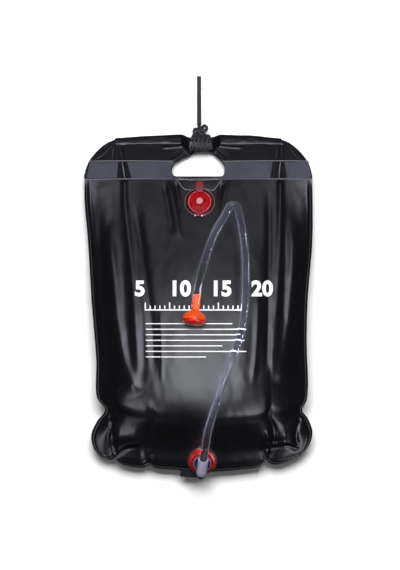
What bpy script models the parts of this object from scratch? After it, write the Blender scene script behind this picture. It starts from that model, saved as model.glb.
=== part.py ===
"""Camp shower bag, full, lying on its back with its face up and the hose laid over its belly.

Metres, +Z up, +X to the bag's right as seen from above, +Y towards the end that it hangs by.
The origin is on the floor, under the middle of the bag with its fittings.
"""

import math

import bmesh
import bpy
from mathutils import Matrix, Vector

# Bag
BAG_WIDTH = 0.400
CHAMBER_LENGTH = 0.512
HEADER_LENGTH = 0.077
OUTLET_OVERHANG = 0.0105
BELLY_HEIGHT = 0.120
SEAM_HEIGHT = 0.050
SHEET_THICKNESS = 0.0010
WELD_WIDTH = 0.009
GAP = 0.0003
OVERRUN = 0.040

# Header, its hand hole, its grip band and its hem
HOLE_WIDTH = 0.095
HOLE_HEIGHT = 0.046
HOLE_TO_WELD = 0.0032
BAND_WIDTH = 0.031
BAND_THICKNESS = 0.0008
HEM_WIDTH = 0.0165
HEM_THICKNESS = 0.0070
HEM_BUNDLE_RADIUS = 0.0058
GATHER_WIDTH = 0.064
GATHER_OFFSET = 0.0045

# Tab under the bottom seam
TAB_LENGTH = 0.029
TAB_WIDTH = 0.016
TAB_OVERLAP = 0.0042
TAB_THICKNESS = 0.0012
TAB_TURN = math.radians(-4)

# Filler: neck welded into the front sheet, cap on a hinge
FILLER_TILT = math.radians(-19)
NECK_FLANGE_RADIUS = 0.0262
NECK_FLANGE_THICKNESS = 0.0024
NECK_RIM_RADIUS = 0.0228
NECK_RIM_HEIGHT = 0.0040
NECK_RADIUS = 0.0195
NECK_BORE_RADIUS = 0.0170
NECK_DEPTH = 0.0090
FILLER_POCKET_DEPTH = 0.0150
CAP_RADIUS = 0.0206
CAP_HEIGHT = 0.0070
CAP_WALL = 0.0018
PLUG_DEPTH = 0.0055
PLUG_WALL = 0.0022
PLUG_TAPER = 0.0014
BUTTON_RADIUS = 0.0095
CAP_TAB_WIDTH = 0.0144
CAP_TAB_REACH = 0.0365
CAP_TAB_THICKNESS = 0.0026
PIN_RADIUS = 0.0012
PIN_CLEARANCE = 0.0003
KNUCKLE_RADIUS = 0.0031
HINGE_WIDTH = 0.0200
KNUCKLE_LENGTH = 0.0040

# Outlet: flange welded into the front sheet, elbow that turns in it
OUTLET_TILT = math.radians(27)
ELBOW_TURN = math.radians(-8)
PATCH_RADIUS = 0.0262
PATCH_THICKNESS = 0.0008
FLANGE_RADIUS = 0.0244
FLANGE_THICKNESS = 0.0030
BOSS_RADIUS = 0.0175
BOSS_HEIGHT = 0.0075
SPIGOT_RADIUS = 0.0125
SPIGOT_DEPTH = 0.0080
OUTLET_POCKET_DEPTH = 0.0105
GLAND_RADIUS = 0.0156
GLAND_HEIGHT = 0.0035
ELBOW_STEM_RADIUS = 0.0062
ELBOW_RADIUS = 0.0092
ELBOW_FRONT = 0.0145
ELBOW_BACK = 0.0182
BORE_CLEARANCE = 0.0003
BARB_RADIUS = 0.0047
BARB_BORE_RADIUS = 0.0030
BARB_LENGTH = 0.0190
BARB_RIB = 0.0005
SOCKET_DEPTH = 0.0120
ELBOW_PLUG_RADIUS = 0.0058
ELBOW_PLUG_STAND_OUT = 0.0058

# Hose and shower head
HOSE_RADIUS = 0.00675
STEM_RADIUS = 0.0058
STEM_LENGTH = 0.0420
STEM_BORE_RADIUS = 0.0038
SHOULDER = 0.0170
HEAD_RADIUS = 0.0210
HEAD_WALL = 0.0020
HEAD_RIM = 0.0030
HEAD_PITCH = math.radians(8)
HEAD_YAW = math.radians(-6)
ROSE_HEIGHT = 0.0095
ROSE_THICKNESS = 0.0020
ROSE_SKIRT = 0.0052
SPRAY_HOLE_RADIUS = 0.0007
PLUNGER_RADIUS = 0.0016
SEAL_RADIUS = 0.0035
SEAL_THICKNESS = 0.0022
SEAL_INSET = 0.0010

# Rope
ROPE_RADIUS = 0.0028
ROPE_LENGTH = 0.0820
ROPE_OFFSET = 0.0016
KNOT_WIDTH = 0.0250
KNOT_LENGTH = 0.0215
KNOT_HEIGHT = 0.0150
WRAP_TURNS = 5
WRAP_PITCH = 0.0064
LEAD_SIDES = ((-0.80, -0.60, 0.0), (0.78, -0.36, 0.52))

# The bag's edge from the header weld round to the bottom corners, as shares of the half width
# and of the chamber's length, with the puckers that filling draws into the weld
LEFT_EDGE_SHARES = [
    (-0.994, 0.0), (-0.993, 0.075), (-0.962, 0.211), (-0.930, 0.414), (-0.889, 0.618), (-0.882, 0.745),
    (-0.812, 0.786), (-0.885, 0.827), (-0.934, 0.875), (-0.910, 0.920), (-0.848, 0.948),
]
RIGHT_EDGE_SHARES = [
    (0.994, 0.0), (0.999, 0.075), (0.996, 0.211), (0.954, 0.414), (0.945, 0.550), (0.948, 0.750),
    (0.905, 0.787), (0.955, 0.815), (0.997, 0.862), (0.965, 0.910), (0.886, 0.943),
]
BOTTOM_EDGE_SHARES = [
    (-0.848, 0.948), (-0.751, 0.9565), (-0.712, 0.947), (-0.612, 0.981), (-0.473, 0.985), (-0.425, 0.980),
    (-0.251, 0.992), (0.0, 1.0), (0.138, 1.0), (0.358, 0.993), (0.540, 0.981), (0.590, 0.960),
    (0.678, 0.975), (0.803, 0.962), (0.886, 0.943),
]
# Height along the middle and of the weld all round, as shares of the belly's and the seam's height
BELLY_SHARES = [
    (0.0, 0.250), (0.08, 0.367), (0.21, 0.558), (0.346, 0.755), (0.482, 0.900), (0.618, 0.985), (0.70, 1.0),
    (0.788, 0.925), (0.84, 0.775), (0.89, 0.575), (0.9236, 0.452), (0.961, 0.370), (1.0, 0.275),
]
SEAM_SHARES = [
    (0.0, 0.56), (0.15, 0.70), (0.35, 0.90), (0.60, 1.0), (0.78, 0.94), (0.90, 0.78), (1.0, 0.64),
]
# Lines that the panels' columns follow from the middle out to the weld, as (place down the chamber,
# place across, rise): the long folds that filling draws up and down beside each edge
LEFT_LINE_SHARES = [
    [(0.0, -0.186, 0.0), (1.0, -0.186, 0.0)],
    [(0.0, -0.365, 0.0), (1.0, -0.365, 0.0)],
    [
        (0.0, -0.55, 0.0), (0.10, -0.54, -0.018), (0.24, -0.515, -0.033), (0.41, -0.475, -0.033),
        (0.54, -0.45, -0.033), (0.67, -0.44, -0.025), (0.76, -0.45, 0.0), (1.0, -0.46, 0.0),
    ],
    [
        (0.0, -0.645, 0.012), (0.10, -0.615, 0.028), (0.24, -0.58, 0.029), (0.41, -0.555, 0.029),
        (0.60, -0.535, 0.027), (0.70, -0.535, 0.015), (0.79, -0.545, 0.0), (1.0, -0.56, 0.0),
    ],
    [
        (0.0, -0.70, 0.0), (0.16, -0.68, -0.004), (0.24, -0.66, -0.010), (0.41, -0.635, -0.012),
        (0.52, -0.62, -0.010), (0.62, -0.60, -0.004), (0.79, -0.62, 0.0), (1.0, -0.65, 0.0),
    ],
    [
        (0.0, -0.77, 0.0), (0.12, -0.77, 0.012), (0.22, -0.745, 0.037), (0.36, -0.725, 0.037),
        (0.525, -0.685, 0.037), (0.62, -0.655, 0.034), (0.69, -0.655, 0.020), (0.79, -0.68, 0.0),
        (1.0, -0.72, 0.0),
    ],
    [
        (0.0, -0.84, 0.0), (0.13, -0.84, -0.016), (0.28, -0.845, -0.033), (0.42, -0.84, -0.033),
        (0.58, -0.82, -0.033), (0.70, -0.775, -0.020), (0.79, -0.78, 0.0), (1.0, -0.80, 0.0),
    ],
    [
        (0.0, -0.90, 0.0), (0.33, -0.90, 0.0), (0.45, -0.905, 0.020), (0.68, -0.90, 0.022),
        (0.78, -0.89, 0.0), (1.0, -0.885, 0.0),
    ],
]
RIGHT_LINE_SHARES = [
    [(0.0, 0.186, 0.0), (1.0, 0.186, 0.0)],
    [(0.0, 0.365, 0.0), (1.0, 0.365, 0.0)],
    [(0.0, 0.515, 0.0), (1.0, 0.515, 0.0)],
    [
        (0.0, 0.64, 0.0), (0.06, 0.62, -0.020), (0.21, 0.595, -0.037), (0.38, 0.61, -0.037),
        (0.545, 0.58, -0.037), (0.67, 0.56, -0.025), (0.77, 0.57, 0.0), (1.0, 0.58, 0.0),
    ],
    [
        (0.0, 0.71, 0.012), (0.10, 0.685, 0.028), (0.265, 0.68, 0.029), (0.34, 0.685, 0.029),
        (0.50, 0.665, 0.028), (0.60, 0.64, 0.027), (0.70, 0.63, 0.015), (0.79, 0.64, 0.0), (1.0, 0.65, 0.0),
    ],
    [
        (0.0, 0.735, 0.0), (0.14, 0.73, -0.006), (0.31, 0.745, -0.012), (0.445, 0.74, -0.012),
        (0.53, 0.72, -0.010), (0.60, 0.695, -0.004), (0.79, 0.70, 0.0), (1.0, 0.72, 0.0),
    ],
    [
        (0.0, 0.765, 0.010), (0.14, 0.775, 0.034), (0.22, 0.79, 0.037), (0.30, 0.805, 0.037),
        (0.43, 0.81, 0.037), (0.49, 0.80, 0.037), (0.57, 0.775, 0.036), (0.64, 0.75, 0.030),
        (0.79, 0.76, 0.0), (1.0, 0.78, 0.0),
    ],
    [
        (0.0, 0.84, 0.0), (0.20, 0.84, -0.010), (0.30, 0.855, -0.030), (0.415, 0.86, -0.033),
        (0.585, 0.84, -0.033), (0.70, 0.81, -0.025), (0.79, 0.82, 0.0), (1.0, 0.84, 0.0),
    ],
    [
        (0.0, 0.905, 0.0), (0.20, 0.905, 0.006), (0.30, 0.91, 0.018), (0.60, 0.905, 0.021),
        (0.745, 0.90, 0.020), (0.82, 0.895, 0.0), (1.0, 0.90, 0.0),
    ],
]
HEADER_SHARES = [
    (0.994, 0.0), (0.996, 0.05), (0.980, 0.24), (0.952, 0.42), (0.900, 0.60), (0.840, 0.75), (0.790, 0.84),
    (0.738, 0.90),
]
HOLE_SHARES = [
    (-0.808, 0.0), (-0.93, 0.045), (-1.0, 0.22), (-0.985, 0.40), (-0.90, 0.54), (-0.676, 0.70), (-0.35, 0.84),
    (-0.15, 0.97), (0.0, 1.0), (0.40, 1.0), (0.55, 0.93), (0.70, 0.80), (0.92, 0.58), (0.99, 0.42), (1.0, 0.22),
    (0.95, 0.045), (0.84, 0.0),
]
BULGE_SHARES = {
    "round": 2.6, "full": 0.80, "under_round": 3.0, "under_full": 0.70, "under_end": 6, "under_reach": 1.6,
}
HEADER_DROP_SHARE = 0.80
HEM_REACH_SHARE = 0.728
HEM_ROOT_SHARE = 0.775
BUNDLE_SHARE = 0.79
LEAD_SWEEP_SHARES = (0.50, 0.30)
FILLER_SHARES = (0.009, 0.0780)
OUTLET_SHARES = (0.009, 0.9490)
HEAD_SHARES = (-0.050, 0.4605)
TAB_SHARES = (-0.09, 0.994)

# Hose from the barb to the shower head's stem, chosen by hand over the belly
HOSE_ROUTE = [
    (0.0117, -0.2486, 0.0822), (0.0134, -0.2375, 0.0879), (0.0153, -0.2245, 0.0957), (0.0177, -0.2120, 0.1052),
    (0.0219, -0.1971, 0.1165), (0.0273, -0.1790, 0.1234), (0.0331, -0.1616, 0.1262), (0.0405, -0.1360, 0.1267),
    (0.0494, -0.1118, 0.1252), (0.0566, -0.0950, 0.1229), (0.0646, -0.0750, 0.1198), (0.0712, -0.0550, 0.1159),
    (0.0762, -0.0330, 0.1118), (0.0800, -0.0074, 0.1060), (0.0818, 0.0200, 0.0999), (0.0826, 0.0470, 0.0929),
    (0.0826, 0.0740, 0.0848), (0.0811, 0.1000, 0.0768), (0.0780, 0.1240, 0.0695), (0.0750, 0.1430, 0.0635),
    (0.0720, 0.1570, 0.0591), (0.0697, 0.1688, 0.0556), (0.0671, 0.1754, 0.0538), (0.0610, 0.1781, 0.0532),
    (0.0549, 0.1754, 0.0540), (0.0523, 0.1688, 0.0562), (0.0450, 0.1562, 0.0604), (0.0351, 0.1395, 0.0663),
    (0.0230, 0.1144, 0.0760), (0.0150, 0.0900, 0.0866), (0.0085, 0.0690, 0.0990), (0.0040, 0.0520, 0.1110),
    (0.0006, 0.0385, 0.1182), (-0.0012, 0.0310, 0.1201), (-0.0022, 0.0216, 0.1214),
]

ROWS = 28
ROUND_STEPS = 24
GATHER_STEPS = 5
RING_POINTS = 12
WRAP_STEPS = 24
LEAD_STEPS = 6
KNOT_STEPS = 14
ROPE_STEPS = 8
SHARP_ANGLE = math.radians(35)
HOLE_STEPS = 6
EAR_STEPS = 12
HEM_BENDS = 6
HEM_SPANS = 4
SPRAY_TURN = math.radians(5)
SPRAY_RINGS = ((1, 0.0), (6, 0.36), (10, 0.70))

bag_half = BAG_WIDTH / 2
weld_v = WELD_WIDTH / CHAMBER_LENGTH
elbow_rise = PATCH_THICKNESS + BOSS_HEIGHT + GLAND_HEIGHT + 3 * GAP + ELBOW_RADIUS
wound_half = WRAP_PITCH * WRAP_TURNS / 2 + ROPE_RADIUS
chamber_top = (HEADER_LENGTH + CHAMBER_LENGTH + OUTLET_OVERHANG) / 2 - HEADER_LENGTH


def clear_scene():
    for obj in list(bpy.data.objects):
        bpy.data.objects.remove(obj, do_unlink=True)


def new_collection(name):
    collection = bpy.data.collections.new(name)
    bpy.context.scene.collection.children.link(collection)
    return collection


def finish(name, colour, roughness, metallic=0.0, alpha=1.0):
    """A plain material in the piece's own colour."""
    material = bpy.data.materials.new(name)
    material.use_nodes = True
    shader = material.node_tree.nodes["Principled BSDF"]
    shader.inputs["Base Color"].default_value = (*colour, 1.0)
    shader.inputs["Roughness"].default_value = roughness
    shader.inputs["Metallic"].default_value = metallic
    shader.inputs["Alpha"].default_value = alpha
    return material


def add(name, data, material=None, parent=None, place=(0, 0, 0), turn=(0, 0, 0)):
    """Link an object to the bag's collection, or to the cutters' when it has no material."""
    obj = bpy.data.objects.new(name, data)
    (parts if material else cutters).objects.link(obj)
    if material:
        data.materials.append(material)
    else:
        obj.hide_render = True
        obj.display_type = "WIRE"
    obj.parent = parent
    obj.location = place
    obj.rotation_euler = turn
    return obj


def add_empty(name, place, turn):
    empty = bpy.data.objects.new(name, None)
    parts.objects.link(empty)
    empty.matrix_world = Matrix.Translation(place) @ turn
    return empty


def mesh_from(name, bm, smooth=True):
    """Turn a bmesh into a mesh with its faces pointing out."""
    bmesh.ops.recalc_face_normals(bm, faces=bm.faces)
    mesh = bpy.data.meshes.new(name)
    bm.to_mesh(mesh)
    bm.free()
    if smooth:
        mesh.shade_smooth()
        mesh.set_sharp_from_angle(angle=SHARP_ANGLE)
    return mesh


def turned(name, profile, material=None, parent=None, place=(0, 0, 0), turn=(0, 0, 0), ring=False):
    """Turn a profile of (radius, height) points about Z, from the top down its outer side."""
    mesh = bpy.data.meshes.new(name)
    edges = [(i, i + 1) for i in range(len(profile) - 1)]
    if ring:
        edges.append((len(profile) - 1, 0))
    mesh.from_pydata([(radius, 0, height) for radius, height in profile], edges, [])
    obj = add(name, mesh, material, parent, place, turn)
    screw = obj.modifiers.new("Turn", "SCREW")
    screw.steps = ROUND_STEPS
    screw.render_steps = ROUND_STEPS
    screw.use_merge_vertices = True
    screw.merge_threshold = 0.0001
    screw.use_smooth_shade = True
    return obj


def cylinder(name, radius, low, high, material=None, parent=None, place=(0, 0, 0), turn=(0, 0, 0)):
    """A round bar along Z from one height to another."""
    return turned(name, [(0, high), (radius, high), (radius, low), (0, low)], material, parent, place, turn)


def box(name, size, material=None, parent=None, place=(0, 0, 0), turn=(0, 0, 0), rounding=0.0):
    bm = bmesh.new()
    bmesh.ops.create_cube(bm, size=1)
    bmesh.ops.scale(bm, vec=size, verts=bm.verts)
    if rounding:
        bmesh.ops.bevel(bm, geom=bm.edges[:], offset=rounding, segments=2, profile=0.5, affect="EDGES")
    return add(name, mesh_from(name, bm), material, parent, place, turn)


def combine(obj, other, operation):
    boolean = obj.modifiers.new(operation.title() + " " + other.name, "BOOLEAN")
    boolean.operation = operation
    boolean.object = other
    boolean.solver = "EXACT"
    return obj


def meshed(curve_object, name, material=None, parent=None):
    """Swap a curve object for a mesh one with its caps welded on."""
    graph = bpy.context.evaluated_depsgraph_get()
    mesh = bpy.data.meshes.new_from_object(curve_object.evaluated_get(graph))
    matrix = curve_object.matrix_world.copy()
    bpy.data.objects.remove(curve_object, do_unlink=True)
    bm = bmesh.new()
    bm.from_mesh(mesh)
    bmesh.ops.remove_doubles(bm, verts=bm.verts, dist=SHEET_THICKNESS / ROUND_STEPS)
    bpy.data.meshes.remove(mesh)
    obj = add(name, mesh_from(name, bm), material, parent)
    obj.matrix_world = matrix
    return obj


def flat_outline(name, outlines, thickness):
    """A flat plate from closed outlines, centred on Z = 0; inner outlines are holes."""
    curve = bpy.data.curves.new(name + "_outline", "CURVE")
    curve.dimensions = "2D"
    curve.fill_mode = "BOTH"
    curve.extrude = thickness / 2
    for outline in outlines:
        spline = curve.splines.new("POLY")
        spline.points.add(len(outline) - 1)
        for point, (x, y) in zip(spline.points, outline):
            point.co = (x, y, 0, 1)
        spline.use_cyclic_u = True
    return add(name + "_outline", curve)


def tube(name, points, radius, material, resolution=2):
    """A round cord through the points, with filled ends."""
    curve = bpy.data.curves.new(name, "CURVE")
    curve.dimensions = "3D"
    curve.bevel_depth = radius
    curve.bevel_resolution = resolution
    curve.use_fill_caps = True
    spline = curve.splines.new("POLY")
    spline.points.add(len(points) - 1)
    for point, co in zip(spline.points, points):
        point.co = (*co, 1)
    return add(name, curve, material)


def smooth_line(points, per_span=8):
    """A curve through the points whose bends stay between them (centripetal Catmull-Rom)."""
    points = [Vector(p) for p in points]
    padded = [points[0] * 2 - points[1], *points, points[-1] * 2 - points[-2]]
    line = []
    for a, b, c, d in zip(padded, padded[1:], padded[2:], padded[3:]):
        t1 = (b - a).length ** 0.5
        t2 = t1 + (c - b).length ** 0.5
        t3 = t2 + (d - c).length ** 0.5
        for step in range(per_span):
            t = t1 + (t2 - t1) * step / per_span
            ab = a.lerp(b, t / t1)
            bc = b.lerp(c, (t - t1) / (t2 - t1))
            cd = c.lerp(d, (t - t2) / (t3 - t2))
            line.append(ab.lerp(bc, t / t2).lerp(bc.lerp(cd, (t - t1) / (t3 - t1)), (t - t1) / (t2 - t1)))
    return [*line, points[-1]]


def at_length_share(line, share):
    """The point a share of the way along a dense line."""
    lengths = [0.0]
    for a, b in zip(line, line[1:]):
        lengths.append(lengths[-1] + (b - a).length)
    target = share * lengths[-1]
    for i in range(1, len(line)):
        if lengths[i] >= target:
            part = (target - lengths[i - 1]) / (lengths[i] - lengths[i - 1])
            return line[i - 1].lerp(line[i], part)
    return line[-1].copy()


def smooth_value(table, where):
    """A value read from a smooth curve through (where, value) pairs."""
    for i, ((x0, y0), (x1, y1)) in enumerate(zip(table, table[1:])):
        if where <= x1:
            before = table[i - 1] if i else (2 * x0 - x1, 2 * y0 - y1)
            after = table[i + 2] if i + 2 < len(table) else (2 * x1 - x0, 2 * y1 - y0)
            span = x1 - x0
            slope0 = (y1 - before[1]) / (x1 - before[0]) * span
            slope1 = (after[1] - y0) / (after[0] - x0) * span
            t = (where - x0) / span
            return (
                y0 * (2 * t**3 - 3 * t**2 + 1)
                + slope0 * (t**3 - 2 * t**2 + t)
                + y1 * (3 * t**2 - 2 * t**3)
                + slope1 * (t**3 - t**2)
            )
    return table[-1][1]


def edge_line(shares):
    return smooth_line([Vector((x * bag_half, chamber_top - y * CHAMBER_LENGTH, 0)) for x, y in shares])


left_edge = edge_line(LEFT_EDGE_SHARES)
right_edge = edge_line(RIGHT_EDGE_SHARES)
bottom_edge = edge_line(BOTTOM_EDGE_SHARES)


def plan_point(u, v):
    """The chamber's plan: u runs from the left edge, -1, to the right, 1; v from the header, 0, down to 1."""
    s = (u + 1) / 2
    left = at_length_share(left_edge, v)
    right = at_length_share(right_edge, v)
    top = left_edge[0].lerp(right_edge[0], s)
    bottom = at_length_share(bottom_edge, s)
    corners = left_edge[0].lerp(right_edge[0], s).lerp(left_edge[-1].lerp(right_edge[-1], s), v)
    return top.lerp(bottom, v) + left.lerp(right, s) - corners


def seam_height(v):
    return SEAM_HEIGHT * smooth_value(SEAM_SHARES, v)


def weld_share(u):
    """How far a column lies across the filled part: 1 where the side weld begins."""
    return min(1.0, abs(u) / (1 - WELD_WIDTH / bag_half))


def front_height(u, v):
    bulge = (1 - weld_share(u) ** BULGE_SHARES["round"]) ** BULGE_SHARES["full"]
    seam = seam_height(v) + SHEET_THICKNESS
    middle = max(seam, BELLY_HEIGHT * smooth_value(BELLY_SHARES, v))
    return seam + (middle - seam) * bulge


def back_height(u, v):
    across = (1 - weld_share(u) ** BULGE_SHARES["under_round"]) ** BULGE_SHARES["under_full"]
    inside = min(1.0, abs(2 * v - 1) / (1 - 2 * weld_v))
    along = (1 - inside ** BULGE_SHARES["under_end"]) ** BULGE_SHARES["under_full"]
    fall = min(1.0, BULGE_SHARES["under_reach"] * across * along)
    return (seam_height(v) - SHEET_THICKNESS) * (1 - fall)


def on_belly(shares):
    u, v = shares
    point = plan_point(u, v)
    point.z = front_height(u, v)
    return point


def column_lines():
    """Every column's line from the left edge to the right, with one along each weld's inner edge."""
    weld = 1 - WELD_WIDTH / bag_half
    middle = [[(0.0, 0.0, 0.0), (1.0, 0.0, 0.0)]]
    edges = [[(0.0, u, 0.0), (1.0, u, 0.0)] for u in (-1.0, -weld, weld, 1.0)]
    return edges[:2] + LEFT_LINE_SHARES[::-1] + middle + RIGHT_LINE_SHARES + edges[2:]


column_table = column_lines()
columns = len(column_table) - 1


def row_share(index):
    """Row positions down the chamber, with one at each end weld's inner edge."""
    if index in (0, ROWS):
        return index / ROWS
    return weld_v + (1 - 2 * weld_v) * (index - 1) / (ROWS - 2)


def grid_place(co):
    """A grid vertex's place as (u, v), and the fold's rise there."""
    line = column_table[round((co.x + 1) / 2 * columns)]
    v = row_share(round((1 - co.y) / 2 * ROWS))
    u = smooth_value([(down, across) for down, across, rise in line], v)
    rise = smooth_value([(down, rise) for down, across, rise in line], v)
    return u, v, rise * BELLY_HEIGHT


def panel(name, material, outer, inner, folded):
    """A closed half of the filled chamber between an outer skin, folded or not, and the seam's surface."""
    bm = bmesh.new()
    bmesh.ops.create_grid(bm, x_segments=columns, y_segments=ROWS, size=1)
    below = {vert: grid_place(vert.co) for vert in bm.verts}
    raised = bmesh.ops.extrude_face_region(bm, geom=bm.faces[:])["geom"]
    above = {item: grid_place(item.co) for item in raised if isinstance(item, bmesh.types.BMVert)}
    for verts, height, share in ((below, inner, 0), (above, outer, int(folded))):
        for vert, (u, v, rise) in verts.items():
            vert.co = plan_point(u, v)
            vert.co.z = height(u, v) + rise * share
    return add(name, mesh_from(name, bm), material)


def make_panels():
    vinyl = finish("black_vinyl", (0.016, 0.017, 0.021), 0.38)
    front = panel("front_panel", vinyl, front_height, lambda u, v: seam_height(v) + GAP / 2, True)
    back = panel("back_panel", vinyl.copy(), back_height, lambda u, v: seam_height(v) - GAP / 2, False)
    return front, back


def header_height(y):
    """The header's mid-height, falling from the weld to the hem."""
    share = (y - chamber_top) / HEADER_LENGTH
    return seam_height(0) * (1 - HEADER_DROP_SHARE * share / HEM_ROOT_SHARE)


def lay_on_header(obj, rise):
    for vert in obj.data.vertices:
        vert.co.z += header_height(vert.co.y) + rise
    return obj


def header_point(x_share, y_share):
    return x_share * bag_half, chamber_top + GAP + y_share * HEADER_LENGTH


def hole_outline():
    bottom = chamber_top + HOLE_TO_WELD
    return [(x * HOLE_WIDTH / 2, bottom + y * HOLE_HEIGHT) for x, y in HOLE_SHARES]


def make_header():
    vinyl = finish("header_vinyl", (0.014, 0.015, 0.018), 0.36)
    satin = finish("band_vinyl", (0.060, 0.064, 0.085), 0.45)
    hem_root = chamber_top + HEM_ROOT_SHARE * HEADER_LENGTH
    sides = []
    for side in (1, -1):
        corner = [header_point(side * x, y) for x, y in HEADER_SHARES]
        reach = side * (HEM_REACH_SHARE * bag_half + GAP)
        corner += [(reach, corner[-1][1]), (reach, hem_root)]
        for i in range(GATHER_STEPS + 1):
            from_middle = GATHER_WIDTH / 2 + (wound_half - GATHER_WIDTH / 2) * i / GATHER_STEPS
            x = GATHER_OFFSET + side * from_middle
            middle, wide, thick = hem_section(x)
            corner.append((x, min(hem_root, middle.y - wide - GAP)))
        sides.append(corner)
    outline = sides[0] + sides[1][::-1]
    plate = meshed(flat_outline("header_panel", [outline], SHEET_THICKNESS * 2), "header_panel", vinyl)
    hole = meshed(flat_outline("hand_hole", [hole_outline()], OVERRUN), "hand_hole_cutter")
    gather = box(
        "gather_cutter",
        (2 * wound_half + 2 * ROPE_RADIUS, HEM_WIDTH + HOLE_HEIGHT / 2, OVERRUN),
        place=(GATHER_OFFSET, hem_root + HEM_WIDTH / 2, 0),
    )
    band_size = (BAG_WIDTH * HEADER_SHARES[2][0], BAND_WIDTH - HOLE_TO_WELD / 2, BAND_THICKNESS)
    band = box("grip_band", band_size, satin)
    for vert in band.data.vertices:
        vert.co.y += chamber_top + GAP + band_size[1] / 2 + HOLE_TO_WELD / 4
    for flat, cutter in ((plate, hole), (plate, gather), (band, hole)):
        combine(flat, cutter, "DIFFERENCE")
    for flat in (plate, band):
        graph = bpy.context.evaluated_depsgraph_get()
        cut = bpy.data.meshes.new_from_object(flat.evaluated_get(graph))
        flat.modifiers.clear()
        flat.data = cut
    lay_on_header(plate, 0)
    lay_on_header(band, SHEET_THICKNESS + GAP + BAND_THICKNESS / 2)
    return plate


def loft(name, rings, material):
    """A closed body through rings of points, with a flat cap at each end."""
    bm = bmesh.new()
    loops = [[bm.verts.new(co) for co in ring] for ring in rings]
    for a, b in zip(loops, loops[1:]):
        for i in range(len(a)):
            j = (i + 1) % len(a)
            bm.faces.new((a[i], a[j], b[j], b[i]))
    bm.faces.new(loops[0])
    bm.faces.new(loops[-1])
    return add(name, mesh_from(name, bm), material)


def bundle_centre():
    """Middle of the gathered hem, lifted by the rope that passes under it."""
    lift = HEM_BUNDLE_RADIUS + 2 * ROPE_RADIUS + 2 * GAP
    return Vector((GATHER_OFFSET, chamber_top + BUNDLE_SHARE * HEADER_LENGTH, lift))


def hem_section(x):
    """The hem's middle and its half width and half thickness at x, round under the rope and flat beyond."""
    away = (abs(x - GATHER_OFFSET) - wound_half) / (GATHER_WIDTH / 2 - wound_half)
    gathered = (1 + math.cos(math.pi * min(1.0, max(0.0, away)))) / 2
    bundle = bundle_centre()
    flat_y = chamber_top + HEM_ROOT_SHARE * HEADER_LENGTH + HEM_WIDTH / 2 + GAP
    middle = Vector((x, flat_y, HEM_THICKNESS / 2)).lerp(Vector((x, bundle.y, bundle.z)), gathered)
    wide = HEM_WIDTH / 2 + (HEM_BUNDLE_RADIUS - HEM_WIDTH / 2) * gathered
    thick = HEM_THICKNESS / 2 + (HEM_BUNDLE_RADIUS - HEM_THICKNESS / 2) * gathered
    return middle, wide, thick


def make_hem():
    """The folded hem, flat at its ends and gathered into a round bundle under the rope."""
    vinyl = finish("hem_vinyl", (0.012, 0.012, 0.015), 0.34)
    reach = HEM_REACH_SHARE * bag_half
    stops = [-reach, reach]
    for side in (-1, 1):
        near = wound_half
        far = GATHER_WIDTH / 2
        stops += [GATHER_OFFSET + side * (near + (far - near) * i / HEM_BENDS) for i in range(HEM_BENDS + 1)]
        span = (GATHER_OFFSET + side * far - side * reach) / HEM_SPANS
        stops += [side * reach + span * i for i in range(1, HEM_SPANS)]
    rings = []
    for x in sorted(stops):
        middle, wide, thick = hem_section(x)
        ring = []
        for k in range(RING_POINTS):
            angle = 2 * math.pi * (k + 0.5) / RING_POINTS
            ring.append(middle + Vector((0, wide * math.cos(angle), thick * math.sin(angle))))
        rings.append(ring)
    return loft("top_hem", rings, vinyl)


def make_tab():
    vinyl = finish("tab_vinyl", (0.010, 0.010, 0.012), 0.50)
    edge = on_belly(TAB_SHARES)
    edge.y -= TAB_WIDTH / 2 - TAB_OVERLAP
    edge.z = seam_height(1) - SHEET_THICKNESS - GAP - TAB_THICKNESS
    return box("bottom_tab", (TAB_LENGTH, TAB_WIDTH, TAB_THICKNESS), vinyl, place=edge, turn=(0, 0, TAB_TURN))


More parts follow.
